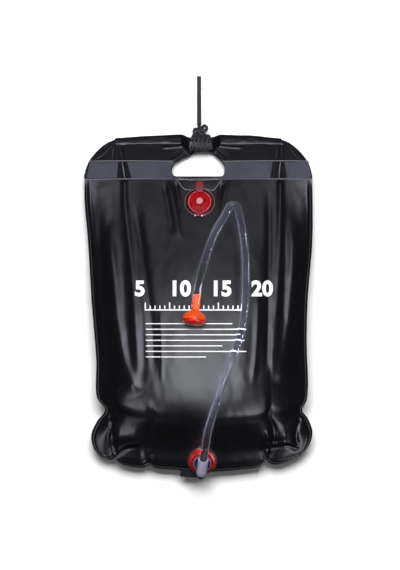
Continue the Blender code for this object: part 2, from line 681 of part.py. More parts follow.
def make_filler(front, back):
    """Neck, hinged cap and pin, square to the belly where the neck is welded in."""
    red = finish("red_vinyl", (0.52, 0.008, 0.012), 0.28)
    pin_red = finish("pin_plastic", (0.30, 0.006, 0.010), 0.40)
    place = on_belly(FILLER_SHARES)
    base = add_empty("filler_base", place, Matrix.Rotation(FILLER_TILT, 4, "X"))
    rim_top = NECK_FLANGE_THICKNESS + NECK_RIM_HEIGHT
    neck = turned(
        "filler_neck",
        [
            (NECK_RIM_RADIUS, rim_top),
            (NECK_RIM_RADIUS, NECK_FLANGE_THICKNESS),
            (NECK_FLANGE_RADIUS - NECK_FLANGE_THICKNESS / 2, NECK_FLANGE_THICKNESS),
            (NECK_FLANGE_RADIUS, NECK_FLANGE_THICKNESS / 2),
            (NECK_FLANGE_RADIUS, 0),
            (NECK_RADIUS, 0),
            (NECK_RADIUS, -NECK_DEPTH),
            (NECK_BORE_RADIUS, -NECK_DEPTH),
            (NECK_BORE_RADIUS, NECK_FLANGE_THICKNESS),
            (CAP_RADIUS + 2 * GAP, NECK_FLANGE_THICKNESS),
            (CAP_RADIUS + 2 * GAP, rim_top),
        ],
        red,
        base,
        ring=True,
    )
    pocket = cylinder("filler_pocket", NECK_RADIUS + GAP, -FILLER_POCKET_DEPTH, OVERRUN, parent=base)
    seat = cylinder("filler_seat", NECK_FLANGE_RADIUS + GAP, -GAP, OVERRUN, parent=base)
    for cutter in (pocket, seat):
        combine(front, cutter, "DIFFERENCE")
    combine(back, pocket, "DIFFERENCE")

    pivot_y = -(NECK_FLANGE_RADIUS - KNUCKLE_RADIUS / 3)
    pivot_z = NECK_FLANGE_THICKNESS + GAP + KNUCKLE_RADIUS
    hinge = bpy.data.objects.new("cap_hinge_axis", None)
    parts.objects.link(hinge)
    hinge.parent = base
    hinge.location = (0, pivot_y, pivot_z)

    under = NECK_FLANGE_THICKNESS + GAP
    top = under + CAP_HEIGHT
    plug = NECK_BORE_RADIUS - GAP * 2
    cap = turned(
        "filler_cap",
        [
            (0, top),
            (BUTTON_RADIUS * 0.55, top - CAP_WALL * 0.15),
            (BUTTON_RADIUS * 0.9, top - CAP_WALL * 0.7),
            (BUTTON_RADIUS, top - CAP_WALL),
            (BUTTON_RADIUS * 1.15, top - CAP_WALL * 0.8),
            (CAP_RADIUS * 0.78, top - CAP_WALL),
            (CAP_RADIUS * 0.92, top - CAP_WALL * 1.9),
            (CAP_RADIUS, under + CAP_HEIGHT * 0.35),
            (CAP_RADIUS, under),
            (plug, under),
            (plug - PLUG_TAPER, -PLUG_DEPTH),
            (plug - PLUG_TAPER - PLUG_WALL, -PLUG_DEPTH),
            (plug - PLUG_TAPER - PLUG_WALL, under + CAP_WALL),
            (0, under + CAP_WALL),
        ],
        red.copy(),
        hinge,
        place=(0, -pivot_y, -pivot_z),
    )
    tab_z = rim_top + GAP + CAP_TAB_THICKNESS / 2
    tab_start = CAP_RADIUS * 0.8
    tab = box(
        "cap_tab_form",
        (CAP_TAB_WIDTH, CAP_TAB_REACH - tab_start, CAP_TAB_THICKNESS),
        parent=hinge,
        place=(0, (CAP_TAB_REACH + tab_start) / 2 - pivot_y, tab_z - pivot_z),
        rounding=CAP_TAB_THICKNESS / 3,
    )
    combine(cap, tab, "UNION")
    barrel_length = HINGE_WIDTH - 2 * KNUCKLE_LENGTH - 2 * GAP
    across = (0, math.pi / 2, 0)
    barrel = cylinder(
        "cap_barrel_form", KNUCKLE_RADIUS, -barrel_length / 2, barrel_length / 2, parent=hinge, turn=across
    )
    combine(cap, barrel, "UNION")
    strap_length = -pivot_y - CAP_RADIUS * 0.85
    strap_rise = rim_top + GAP + CAP_WALL / 2 - pivot_z
    strap = box(
        "cap_strap_form",
        (barrel_length, strap_length, CAP_WALL),
        parent=hinge,
        place=(0, strap_length / 2, strap_rise),
    )
    combine(cap, strap, "UNION")
    loose = PIN_RADIUS + PIN_CLEARANCE
    pin_hole = cylinder("pin_hole", loose, -HINGE_WIDTH, HINGE_WIDTH, parent=hinge, turn=across)
    combine(cap, pin_hole, "DIFFERENCE")

    foot = NECK_FLANGE_THICKNESS / 2 - pivot_z
    ear = [(-KNUCKLE_RADIUS, foot), (KNUCKLE_RADIUS, foot)]
    for i in range(EAR_STEPS + 1):
        angle = math.pi * i / EAR_STEPS
        ear.append((KNUCKLE_RADIUS * math.cos(angle), KNUCKLE_RADIUS * math.sin(angle)))
    for side in (-1, 1):
        middle = side * (HINGE_WIDTH - KNUCKLE_LENGTH) / 2
        knuckle = meshed(flat_outline("knuckle", [ear], KNUCKLE_LENGTH), f"knuckle_form_{side + 1}")
        knuckle.parent = hinge
        knuckle.location = (middle, 0, 0)
        knuckle.rotation_euler = (math.pi / 2, 0, math.pi / 2)
        combine(neck, knuckle, "UNION")
    combine(neck, pin_hole, "DIFFERENCE")
    clear_barrel = cylinder(
        "barrel_room",
        KNUCKLE_RADIUS + GAP,
        -(barrel_length + GAP) / 2,
        (barrel_length + GAP) / 2,
        parent=hinge,
        turn=across,
    )
    combine(neck, clear_barrel, "DIFFERENCE")
    cylinder("cap_hinge_pin", PIN_RADIUS, -HINGE_WIDTH / 2, HINGE_WIDTH / 2, pin_red, hinge, turn=across)
    return base


def make_outlet(front, back):
    """Welded flange and patch, gland ring, and the elbow that turns in them."""
    red = finish("outlet_red", (0.62, 0.004, 0.004), 0.26)
    dark = finish("patch_vinyl", (0.010, 0.011, 0.012), 0.30)
    grey = finish("grey_plastic", (0.42, 0.44, 0.52), 0.35)
    black = finish("black_plastic", (0.008, 0.008, 0.009), 0.35)
    base = add_empty("outlet_base", on_belly(OUTLET_SHARES), Matrix.Rotation(OUTLET_TILT, 4, "X"))
    patch_top = PATCH_THICKNESS
    turned(
        "outlet_patch",
        [
            (PATCH_RADIUS, patch_top),
            (PATCH_RADIUS, 0),
            (SPIGOT_RADIUS + GAP, 0),
            (SPIGOT_RADIUS + GAP, patch_top),
        ],
        dark,
        base,
        ring=True,
    )
    low = patch_top + GAP
    bore = ELBOW_STEM_RADIUS + BORE_CLEARANCE
    boss_top = low + BOSS_HEIGHT
    turned(
        "outlet_flange",
        [
            (BOSS_RADIUS * 0.92, boss_top),
            (BOSS_RADIUS, boss_top - FLANGE_THICKNESS * 0.4),
            (BOSS_RADIUS + (FLANGE_RADIUS - BOSS_RADIUS) * 0.35, low + FLANGE_THICKNESS * 1.35),
            (FLANGE_RADIUS - FLANGE_THICKNESS / 2, low + FLANGE_THICKNESS),
            (FLANGE_RADIUS, low + FLANGE_THICKNESS / 2),
            (FLANGE_RADIUS, low),
            (SPIGOT_RADIUS, low),
            (SPIGOT_RADIUS, -SPIGOT_DEPTH),
            (bore, -SPIGOT_DEPTH),
            (bore, boss_top),
        ],
        red,
        base,
        ring=True,
    )
    ring_low = boss_top + GAP
    ring_top = ring_low + GLAND_HEIGHT
    turned(
        "gland_ring",
        [
            (GLAND_RADIUS * 0.93, ring_top),
            (GLAND_RADIUS, ring_top - GLAND_HEIGHT * 0.3),
            (GLAND_RADIUS, ring_low),
            (bore, ring_low),
            (bore, ring_top),
        ],
        grey,
        base,
        ring=True,
    )
    swivel = bpy.data.objects.new("outlet_swivel_axis", None)
    parts.objects.link(swivel)
    swivel.parent = base
    swivel.rotation_euler = (0, 0, ELBOW_TURN)
    along = (-math.pi / 2, 0, 0)
    centre = (0, 0, elbow_rise)
    elbow = turned(
        "outlet_elbow",
        [
            (0, ELBOW_FRONT),
            (ELBOW_RADIUS * 0.88, ELBOW_FRONT),
            (ELBOW_RADIUS, ELBOW_FRONT - ELBOW_RADIUS * 0.12),
            (ELBOW_RADIUS, -ELBOW_BACK + ELBOW_RADIUS * 0.35),
            (ELBOW_RADIUS * 0.75, -ELBOW_BACK),
            (0, -ELBOW_BACK),
        ],
        grey.copy(),
        swivel,
        centre,
        along,
    )
    stem = cylinder("elbow_stem_form", ELBOW_STEM_RADIUS, -SPIGOT_DEPTH, elbow_rise, parent=swivel)
    combine(elbow, stem, "UNION")
    socket = cylinder(
        "barb_socket",
        BARB_RADIUS + GAP,
        ELBOW_FRONT - SOCKET_DEPTH,
        ELBOW_FRONT + OVERRUN,
        parent=swivel,
        place=centre,
        turn=along,
    )
    tail = cylinder(
        "plug_socket",
        ELBOW_PLUG_RADIUS + GAP,
        -ELBOW_BACK - OVERRUN,
        -ELBOW_BACK + SOCKET_DEPTH / 2,
        parent=swivel,
        place=centre,
        turn=along,
    )
    cross = cylinder(
        "cross_bore",
        BARB_BORE_RADIUS,
        -ELBOW_BACK,
        ELBOW_FRONT,
        parent=swivel,
        place=centre,
        turn=along,
    )
    riser = cylinder("riser_bore", BARB_BORE_RADIUS, -SPIGOT_DEPTH - OVERRUN, elbow_rise, parent=swivel)
    for cutter in (socket, tail, cross, riser):
        combine(elbow, cutter, "DIFFERENCE")
    barb_low = ELBOW_FRONT - SOCKET_DEPTH + GAP
    barb_high = ELBOW_FRONT + BARB_LENGTH
    barb = [(BARB_BORE_RADIUS + BARB_RIB, barb_high)]
    ribs = 3
    for i in range(ribs):
        top = barb_high - i * BARB_LENGTH / (ribs + 1)
        barb += [
            (BARB_RADIUS - BARB_RIB, top - BARB_RIB),
            (BARB_RADIUS, top - BARB_LENGTH / (ribs + 2)),
            (BARB_RADIUS - BARB_RIB, top - BARB_LENGTH / (ribs + 2) - BARB_RIB / 2),
        ]
    barb += [(BARB_RADIUS - BARB_RIB, ELBOW_FRONT), (BARB_RADIUS, ELBOW_FRONT - BARB_RIB)]
    barb += [(BARB_RADIUS, barb_low), (BARB_BORE_RADIUS, barb_low), (BARB_BORE_RADIUS, barb_high)]
    turned("hose_barb", barb, black, swivel, centre, along, ring=True)
    plug_high = -ELBOW_BACK + SOCKET_DEPTH / 2 - GAP
    plug_low = -ELBOW_BACK - ELBOW_PLUG_STAND_OUT
    turned(
        "elbow_end_plug",
        [
            (0, plug_high),
            (ELBOW_PLUG_RADIUS, plug_high),
            (ELBOW_PLUG_RADIUS, plug_low + ELBOW_PLUG_STAND_OUT * 0.5),
            (ELBOW_PLUG_RADIUS * 0.7, plug_low + ELBOW_PLUG_STAND_OUT * 0.12),
            (0, plug_low),
        ],
        black.copy(),
        swivel,
        centre,
        along,
    )
    pocket = cylinder("outlet_pocket", SPIGOT_RADIUS + GAP, -OUTLET_POCKET_DEPTH, OVERRUN, parent=base)
    seat = cylinder("outlet_seat", PATCH_RADIUS + GAP, -GAP, OVERRUN, parent=base)
    for cutter in (pocket, seat):
        combine(front, cutter, "DIFFERENCE")
    combine(back, pocket, "DIFFERENCE")
    return base


def make_head():
    """Shower head: body with its stem, and the rose that pulls out to open the valve."""
    orange = finish("orange_plastic", (0.80, 0.090, 0.010), 0.25)
    deep = finish("rose_plastic", (0.42, 0.006, 0.003), 0.22)
    rubber = finish("seal_rubber", (0.02, 0.02, 0.02), 0.60)
    spot = on_belly(HEAD_SHARES)
    spot.z += HEAD_RADIUS + GAP * 2
    upright = Matrix.Rotation(-math.pi / 2, 4, "X")
    turn = Matrix.Rotation(HEAD_YAW, 4, "Z") @ Matrix.Rotation(-HEAD_PITCH, 4, "X") @ upright
    base = add_empty("head_base", spot, turn)
    inner = HEAD_RADIUS - HEAD_WALL
    skirt_room = ROSE_SKIRT - HEAD_RIM
    bore_mouth = SHOULDER * 0.70
    turned(
        "head_body",
        [
            (STEM_RADIUS, STEM_LENGTH),
            (STEM_RADIUS, SHOULDER),
            (STEM_RADIUS * 1.25, SHOULDER * 0.80),
            (HEAD_RADIUS * 0.62, SHOULDER * 0.60),
            (HEAD_RADIUS * 0.86, SHOULDER * 0.38),
            (HEAD_RADIUS * 0.975, SHOULDER * 0.18),
            (HEAD_RADIUS, 0),
            (HEAD_RADIUS, -HEAD_RIM),
            (inner, -HEAD_RIM),
            (inner, skirt_room),
            (inner * 0.78, SHOULDER * 0.32),
            (inner * 0.45, SHOULDER * 0.54),
            (STEM_BORE_RADIUS, bore_mouth),
            (STEM_BORE_RADIUS, STEM_LENGTH),
        ],
        orange,
        base,
        ring=True,
    )
    rim = -HEAD_RIM - GAP
    low = rim - ROSE_HEIGHT
    skirt = inner - GAP
    skirt_top = skirt_room - GAP
    rose = turned(
        "spray_rose",
        [
            (skirt, skirt_top),
            (skirt, rim),
            (HEAD_RADIUS * 0.985, rim),
            (HEAD_RADIUS * 0.93, rim - ROSE_HEIGHT * 0.30),
            (HEAD_RADIUS * 0.76, rim - ROSE_HEIGHT * 0.66),
            (HEAD_RADIUS * 0.45, rim - ROSE_HEIGHT * 0.92),
            (0, low),
            (0, low + ROSE_THICKNESS),
            (HEAD_RADIUS * 0.40, low + ROSE_THICKNESS * 1.3),
            (HEAD_RADIUS * 0.66, rim - ROSE_HEIGHT * 0.45),
            (skirt - ROSE_THICKNESS, rim - ROSE_HEIGHT * 0.10),
            (skirt - ROSE_THICKNESS, skirt_top),
        ],
        deep,
        base,
        ring=True,
    )
    number = 0
    for count, share in SPRAY_RINGS:
        for i in range(count):
            angle = 2 * math.pi * i / count + SPRAY_TURN
            radius = HEAD_RADIUS * share
            hole = turned(
                f"spray_hole_{number}",
                [(0, rim), (SPRAY_HOLE_RADIUS, rim), (SPRAY_HOLE_RADIUS, low - OVERRUN), (0, low - OVERRUN)],
                parent=base,
                place=(radius * math.cos(angle), radius * math.sin(angle), 0),
                turn=(0, 0, SPRAY_TURN),
            )
            hole.modifiers["Turn"].steps = HOLE_STEPS
            hole.modifiers["Turn"].render_steps = HOLE_STEPS
            combine(rose, hole, "DIFFERENCE")
            number += 1
    seat_high = bore_mouth + SEAL_INSET
    turned(
        "valve_plunger",
        [
            (0, seat_high + SEAL_THICKNESS * 2),
            (PLUNGER_RADIUS * 0.6, seat_high + SEAL_THICKNESS * 2),
            (PLUNGER_RADIUS, seat_high + SEAL_THICKNESS * 1.5),
            (PLUNGER_RADIUS, low + ROSE_THICKNESS + GAP * 2 + PLUNGER_RADIUS),
            (PLUNGER_RADIUS * 2, low + ROSE_THICKNESS + GAP * 2),
            (0, low + ROSE_THICKNESS + GAP),
        ],
        deep.copy(),
        base,
    )
    turned(
        "plunger_seal",
        [
            (SEAL_RADIUS * 0.8, seat_high + SEAL_THICKNESS),
            (SEAL_RADIUS, seat_high + SEAL_THICKNESS * 0.75),
            (SEAL_RADIUS, seat_high + SEAL_THICKNESS * 0.25),
            (SEAL_RADIUS * 0.8, seat_high),
            (PLUNGER_RADIUS + GAP / 2, seat_high),
            (PLUNGER_RADIUS + GAP / 2, seat_high + SEAL_THICKNESS),
        ],
        rubber,
        base,
        ring=True,
    )
    return base


def make_hose():
    clear = finish("clear_vinyl", (0.80, 0.82, 0.88), 0.10, alpha=0.35)
    line = smooth_line(HOSE_ROUTE, 2)
    return tube("hose", line, HOSE_RADIUS, clear, 3)


def knot_seat(centre, facing):
    """The point a gap off the knot's skin where the skin faces a direction."""
    half = Vector((KNOT_WIDTH, KNOT_LENGTH, KNOT_HEIGHT)) / 2
    stretched = half * facing
    on_skin = (half * stretched) / stretched.length
    return centre + on_skin + facing * GAP


def rope_lead(start, heading, centre, facing):
    """Points from the wound turns round into the knot, ending straight for one rope diameter."""
    end = knot_seat(centre, facing)
    straight = end + facing * 2 * ROPE_RADIUS
    reach = (straight - start).length
    a = start + heading * reach * LEAD_SWEEP_SHARES[0]
    b = straight + facing * reach * LEAD_SWEEP_SHARES[1]
    points = []
    for i in range(1, LEAD_STEPS + 1):
        t = i / LEAD_STEPS
        points.append(
            start * (1 - t) ** 3 + a * 3 * t * (1 - t) ** 2 + b * 3 * t**2 * (1 - t) + straight * t**3
        )
    return [*points, end]


def least_gap(points, radius):
    """The smallest clear distance between stretches of a tube that are half a turn or more apart."""
    apart = WRAP_STEPS // 2
    distances = [(a - b).length for i, a in enumerate(points) for b in points[i + apart :]]
    return min(distances) - 2 * radius


def make_rope():
    """Rope wound round the gathered hem, its knot, and the free stretch with a bare end."""
    cord = finish("black_rope", (0.020, 0.020, 0.020), 0.80)
    bundle = bundle_centre()
    radius = HEM_BUNDLE_RADIUS + GAP + ROPE_RADIUS
    knot_y = bundle.y + radius + ROPE_RADIUS + GAP + KNOT_LENGTH / 2
    knot_centre = Vector((GATHER_OFFSET / 2, knot_y, KNOT_HEIGHT / 2 + GAP))
    half_turns = 2 * WRAP_TURNS - 1
    turns = []
    for i in range(half_turns * WRAP_STEPS // 2 + 1):
        angle = 2 * math.pi * i / WRAP_STEPS + math.pi
        x = WRAP_PITCH * (i / WRAP_STEPS - half_turns / 4)
        turns.append(bundle + Vector((x, radius * math.sin(angle), radius * math.cos(angle))))
    up = Vector((0, 1, 0))
    first = rope_lead(turns[0], up, knot_centre, Vector(LEAD_SIDES[0]).normalized())
    last = rope_lead(turns[-1], up, knot_centre, Vector(LEAD_SIDES[1]).normalized())
    wound = [*reversed(first), *turns, *last]
    print(f"rope_wraps: least gap to itself {least_gap(wound, ROPE_RADIUS) * 1000:.2f} mm")
    tube("rope_wraps", wound, ROPE_RADIUS, cord, 1)
    bm = bmesh.new()
    bmesh.ops.create_uvsphere(bm, u_segments=KNOT_STEPS, v_segments=KNOT_STEPS // 2, radius=1)
    bmesh.ops.scale(bm, vec=(KNOT_WIDTH / 2, KNOT_LENGTH / 2, KNOT_HEIGHT / 2), verts=bm.verts)
    bmesh.ops.translate(bm, vec=knot_centre, verts=bm.verts)
    add("rope_knot", mesh_from("rope_knot", bm), cord.copy())
    start = knot_y + KNOT_LENGTH / 2 + GAP
    line = []
    for i in range(ROPE_STEPS + 1):
        share = i / ROPE_STEPS
        lift = (knot_centre.z - ROPE_RADIUS - GAP) * (1 - share) ** 4
        line.append(Vector((ROPE_OFFSET, start + ROPE_LENGTH * share, ROPE_RADIUS + GAP + lift)))
    tube("rope_line", line, ROPE_RADIUS, cord.copy())


clear_scene()
parts = new_collection("camp_shower_bag")
cutters = new_collection("cutters")
front_panel, back_panel = make_panels()
make_header()
make_hem()
make_tab()
make_filler(front_panel, back_panel)
make_outlet(front_panel, back_panel)
make_head()
make_hose()
make_rope()
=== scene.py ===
"""Camp shower bag, full, on its back: vinyl skin, welds, fittings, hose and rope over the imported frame.

Metres, +Z up out of the belly, +Y towards the end that hangs from the rope.
Places read off the photograph are pixel coordinates in its 400 by 570 frame.
"""

import logging
import math
from dataclasses import dataclass, replace
from enum import Enum
from functools import cached_property
from typing import Callable, Iterable, Optional, Sequence

import bmesh
import bpy
import numpy as np
from mathutils import Matrix, Vector, noise
from mathutils.bvhtree import BVHTree


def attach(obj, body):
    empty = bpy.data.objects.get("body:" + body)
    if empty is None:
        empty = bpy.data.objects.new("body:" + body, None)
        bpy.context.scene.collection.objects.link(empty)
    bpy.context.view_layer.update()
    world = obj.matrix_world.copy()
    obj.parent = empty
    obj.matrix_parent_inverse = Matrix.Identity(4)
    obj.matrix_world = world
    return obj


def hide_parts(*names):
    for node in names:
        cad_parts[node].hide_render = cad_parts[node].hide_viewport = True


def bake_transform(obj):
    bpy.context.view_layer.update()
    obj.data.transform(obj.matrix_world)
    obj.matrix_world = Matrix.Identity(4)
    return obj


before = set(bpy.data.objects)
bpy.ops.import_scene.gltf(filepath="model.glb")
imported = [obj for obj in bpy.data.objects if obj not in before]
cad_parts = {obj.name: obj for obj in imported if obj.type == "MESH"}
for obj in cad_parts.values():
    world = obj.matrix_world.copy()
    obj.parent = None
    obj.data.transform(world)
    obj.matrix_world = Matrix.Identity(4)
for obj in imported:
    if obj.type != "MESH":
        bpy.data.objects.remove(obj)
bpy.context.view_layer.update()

log = logging.getLogger("camp_shower_bag")

Colour = tuple[float, float, float]
Pixel = tuple[float, float]
Profile = Sequence[tuple[float, float]]
Shares = tuple[tuple[float, float], ...]

PIXEL = 0.00174
PIXEL_ORIGIN = (198.2, 306.75)
MM = 0.001


def from_photo(spot: Pixel) -> tuple[float, float]:
    """Place of a photograph pixel on the bag, in metres."""
    return (spot[0] - PIXEL_ORIGIN[0]) * PIXEL, (PIXEL_ORIGIN[1] - spot[1]) * PIXEL


def smoothstep(low: float, high: float, value: np.ndarray) -> np.ndarray:
    """0 below low, 1 above high, and a smooth rise between them."""
    t = np.clip((value - low) / (high - low), 0.0, 1.0)
    return t * t * (3 - 2 * t)


def smooth_line(points: Sequence[Sequence[float]], per_span: int = 8) -> np.ndarray:
    """A curve through points whose bends stay between them (centripetal Catmull-Rom).

    Args:
        points: places that the curve passes through.
        per_span: steps from one place to the next.

    Returns:
        The curve's points as rows.
    """
    given = np.array(points, float)
    padded = np.vstack([2 * given[0] - given[1], given, 2 * given[-1] - given[-2]])
    rows = []
    for a, b, c, d in zip(padded, padded[1:], padded[2:], padded[3:]):
        t1 = np.linalg.norm(b - a) ** 0.5
        t2 = t1 + np.linalg.norm(c - b) ** 0.5
        t3 = t2 + np.linalg.norm(d - c) ** 0.5
        for step in range(per_span):
            t = t1 + (t2 - t1) * step / per_span
            ab = a + (b - a) * t / t1
            bc = b + (c - b) * (t - t1) / (t2 - t1)
            cd = c + (d - c) * (t - t2) / (t3 - t2)
            left = ab + (bc - ab) * t / t2
            right = bc + (cd - bc) * (t - t1) / (t3 - t1)
            rows.append(left + (right - left) * (t - t1) / (t2 - t1))
    return np.array([*rows, given[-1]])


def line_lengths(line: np.ndarray) -> np.ndarray:
    """Length along a line up to each of its points."""
    return np.concatenate([[0.0], np.cumsum(np.linalg.norm(np.diff(line, axis=0), axis=1))])


def at_shares(line: np.ndarray, shares: np.ndarray) -> np.ndarray:
    """Points at shares of a line's length.

    Args:
        line: the line's points.
        shares: shares of its length, 0 to 1.

    Returns:
        The points.
    """
    lengths = line_lengths(line)
    places = np.asarray(shares) * lengths[-1]
    return np.stack([np.interp(places, lengths, line[:, k]) for k in range(line.shape[1])], axis=-1)


def even_line(line: np.ndarray, step: float) -> np.ndarray:
    """The same line with points a step apart."""
    count = max(2, round(line_lengths(line)[-1] / step) + 1)
    return at_shares(line, np.linspace(0, 1, count))


def table_curve(table: Sequence[tuple[float, float]]) -> Callable[[np.ndarray], np.ndarray]:
    """A smooth reading of a table of (where, value) pairs.

    Args:
        table: the pairs, with where rising.

    Returns:
        A function of where.
    """
    wheres = np.linspace(table[0][0], table[-1][0], 401)
    values = []
    for where in wheres:
        for i, ((x0, y0), (x1, y1)) in enumerate(zip(table, table[1:])):
            if where <= x1 + 1e-12:
                before = table[i - 1] if i else (2 * x0 - x1, 2 * y0 - y1)
                after = table[i + 2] if i + 2 < len(table) else (2 * x1 - x0, 2 * y1 - y0)
                span = x1 - x0
                slope0 = (y1 - before[1]) / (x1 - before[0]) * span
                slope1 = (after[1] - y0) / (after[0] - x0) * span
                t = (where - x0) / span
                start = y0 * (2 * t**3 - 3 * t**2 + 1) + slope0 * (t**3 - 2 * t**2 + t)
                values.append(start + y1 * (3 * t**2 - 2 * t**3) + slope1 * (t**3 - t**2))
                break
    return lambda where: np.interp(where, wheres, values)


@dataclass(frozen=True)
class BagForm:
    """Plan and heights of the filled bag, the same that its solids follow."""

    width: float = 0.400
    chamber: float = 0.512
    header: float = 0.077
    overhang: float = 0.0105
    belly: float = 0.120
    seam: float = 0.050
    sheet: float = 0.0010
    weld: float = 0.009
    gap: float = 0.0003
    left_shares: Shares = (
        (-0.994, 0.0), (-0.993, 0.075), (-0.962, 0.211), (-0.930, 0.414), (-0.889, 0.618), (-0.882, 0.745),
        (-0.812, 0.786), (-0.885, 0.827), (-0.934, 0.875), (-0.910, 0.920), (-0.848, 0.948),
    )
    right_shares: Shares = (
        (0.994, 0.0), (0.999, 0.075), (0.996, 0.211), (0.954, 0.414), (0.945, 0.550), (0.948, 0.750),
        (0.905, 0.787), (0.955, 0.815), (0.997, 0.862), (0.965, 0.910), (0.886, 0.943),
    )
    bottom_shares: Shares = (
        (-0.848, 0.948), (-0.751, 0.9565), (-0.712, 0.947), (-0.612, 0.981), (-0.473, 0.985),
        (-0.425, 0.980), (-0.251, 0.992), (0.0, 1.0), (0.138, 1.0), (0.358, 0.993), (0.540, 0.981),
        (0.590, 0.960), (0.678, 0.975), (0.803, 0.962), (0.886, 0.943),
    )
    belly_shares: Shares = (
        (0.0, 0.250), (0.08, 0.367), (0.21, 0.558), (0.346, 0.755), (0.482, 0.900), (0.618, 0.985),
        (0.70, 1.0), (0.788, 0.925), (0.84, 0.775), (0.89, 0.575), (0.9236, 0.452), (0.961, 0.370),
        (1.0, 0.275),
    )
    seam_shares: Shares = (
        (0.0, 0.56), (0.15, 0.70), (0.35, 0.90), (0.60, 1.0), (0.78, 0.94), (0.90, 0.78), (1.0, 0.64),
    )
    hem_root_share: float = 0.775
    drop_share: float = 0.80
    round_power: float = 2.6
    full_power: float = 0.80
    under_power: float = 3.0
    under_full: float = 0.70
    under_end: float = 6.0
    under_reach: float = 1.6

    @property
    def half(self) -> float:
        """Half of the bag's width."""
        return self.width / 2

    @property
    def top(self) -> float:
        """Where the chamber ends and the header begins, along Y."""
        return (self.header + self.chamber + self.overhang) / 2 - self.header

    def _edge(self, shares: Sequence[tuple[float, float]]) -> np.ndarray:
        """A stretch of the bag's edge as a dense line."""
        return smooth_line([(x * self.half, self.top - y * self.chamber) for x, y in shares])

    @cached_property
    def left_edge(self) -> np.ndarray:
        """The left edge from the header down."""
        return self._edge(self.left_shares)

    @cached_property
    def right_edge(self) -> np.ndarray:
        """The right edge from the header down."""
        return self._edge(self.right_shares)

    @cached_property
    def bottom_edge(self) -> np.ndarray:
        """The bottom edge from left to right."""
        return self._edge(self.bottom_shares)

    @cached_property
    def belly_curve(self) -> Callable[[np.ndarray], np.ndarray]:
        """Share of the belly's height along the chamber."""
        return table_curve(self.belly_shares)

    @cached_property
    def seam_curve(self) -> Callable[[np.ndarray], np.ndarray]:
        """Share of the seam's height along the chamber."""
        return table_curve(self.seam_shares)

    def plan(self, u: np.ndarray, v: np.ndarray) -> np.ndarray:
        """The chamber's plan, u from the left edge, -1, to the right, 1, and v from the header down.

        Args:
            u: places across.
            v: places along.

        Returns:
            X and Y in the last axis.
        """
        s = ((u + 1) / 2)[..., None]
        down = v[..., None]
        left = at_shares(self.left_edge, v)
        right = at_shares(self.right_edge, v)
        bottom = at_shares(self.bottom_edge, (u + 1) / 2)
        top = self.left_edge[0] * (1 - s) + self.right_edge[0] * s
        low = self.left_edge[-1] * (1 - s) + self.right_edge[-1] * s
        corners = top * (1 - down) + low * down
        return top * (1 - down) + bottom * down + left * (1 - s) + right * s - corners

    def seam_height(self, v: np.ndarray) -> np.ndarray:
        """Height of the weld round the chamber."""
        return self.seam * self.seam_curve(v)

    def across(self, u: np.ndarray) -> np.ndarray:
        """How far a column lies across the filled part, 1 where the weld begins."""
        return np.minimum(1.0, np.abs(u) / (1 - self.weld / self.half))

    def front(self, u: np.ndarray, v: np.ndarray) -> np.ndarray:
        """Height of the front sheet.

        Args:
            u: shares across the sheet, -1 to 1.
            v: shares along it, 0 to 1.

        Returns:
            The heights.
        """
        bulge = (1 - self.across(u) ** self.round_power) ** self.full_power
        seam = self.seam_height(v) + self.sheet
        middle = np.maximum(seam, self.belly * self.belly_curve(v))
        return seam + (middle - seam) * bulge

    def back(self, u: np.ndarray, v: np.ndarray) -> np.ndarray:
        """Height of the back sheet.

        Args:
            u: shares across the sheet, -1 to 1.
            v: shares along it, 0 to 1.

        Returns:
            The heights.
        """
        across = (1 - self.across(u) ** self.under_power) ** self.under_full
        inside = np.minimum(1.0, np.abs(2 * v - 1) / (1 - 2 * self.weld / self.chamber))
        along = (1 - inside**self.under_end) ** self.under_full
        fall = np.minimum(1.0, self.under_reach * across * along)
        return (self.seam_height(v) - self.sheet) * (1 - fall)

    def on_belly(self, u: float, v: float) -> Vector:
        """A point of the front sheet.

        Args:
            u: shares across the sheet, -1 to 1.
            v: shares along it, 0 to 1.

        Returns:
            The point.
        """
        where = np.array([u]), np.array([v])
        x, y = self.plan(*where)[0]
        return Vector((x, y, float(self.front(*where)[0])))

    def header_height(self, y: np.ndarray) -> np.ndarray:
        """Mid height of the header, which falls from the weld to the hem."""
        share = (y - self.top) / self.header
        return self.seam * self.seam_shares[0][1] * (1 - self.drop_share * share / self.hem_root_share)


FORM = BagForm()
PUCKERED = replace(
    FORM,
    bottom_shares=(
        (-0.848, 0.948), (-0.751, 0.957), (-0.716, 0.941), (-0.695, 0.966), (-0.612, 0.979),
        (-0.473, 0.984), (-0.431, 0.975), (-0.377, 0.985), (-0.251, 0.990), (-0.100, 0.995),
        (0.138, 0.998), (0.358, 0.991), (0.540, 0.979), (0.588, 0.955), (0.622, 0.968), (0.678, 0.974),
        (0.803, 0.960), (0.886, 0.943),
    ),
)


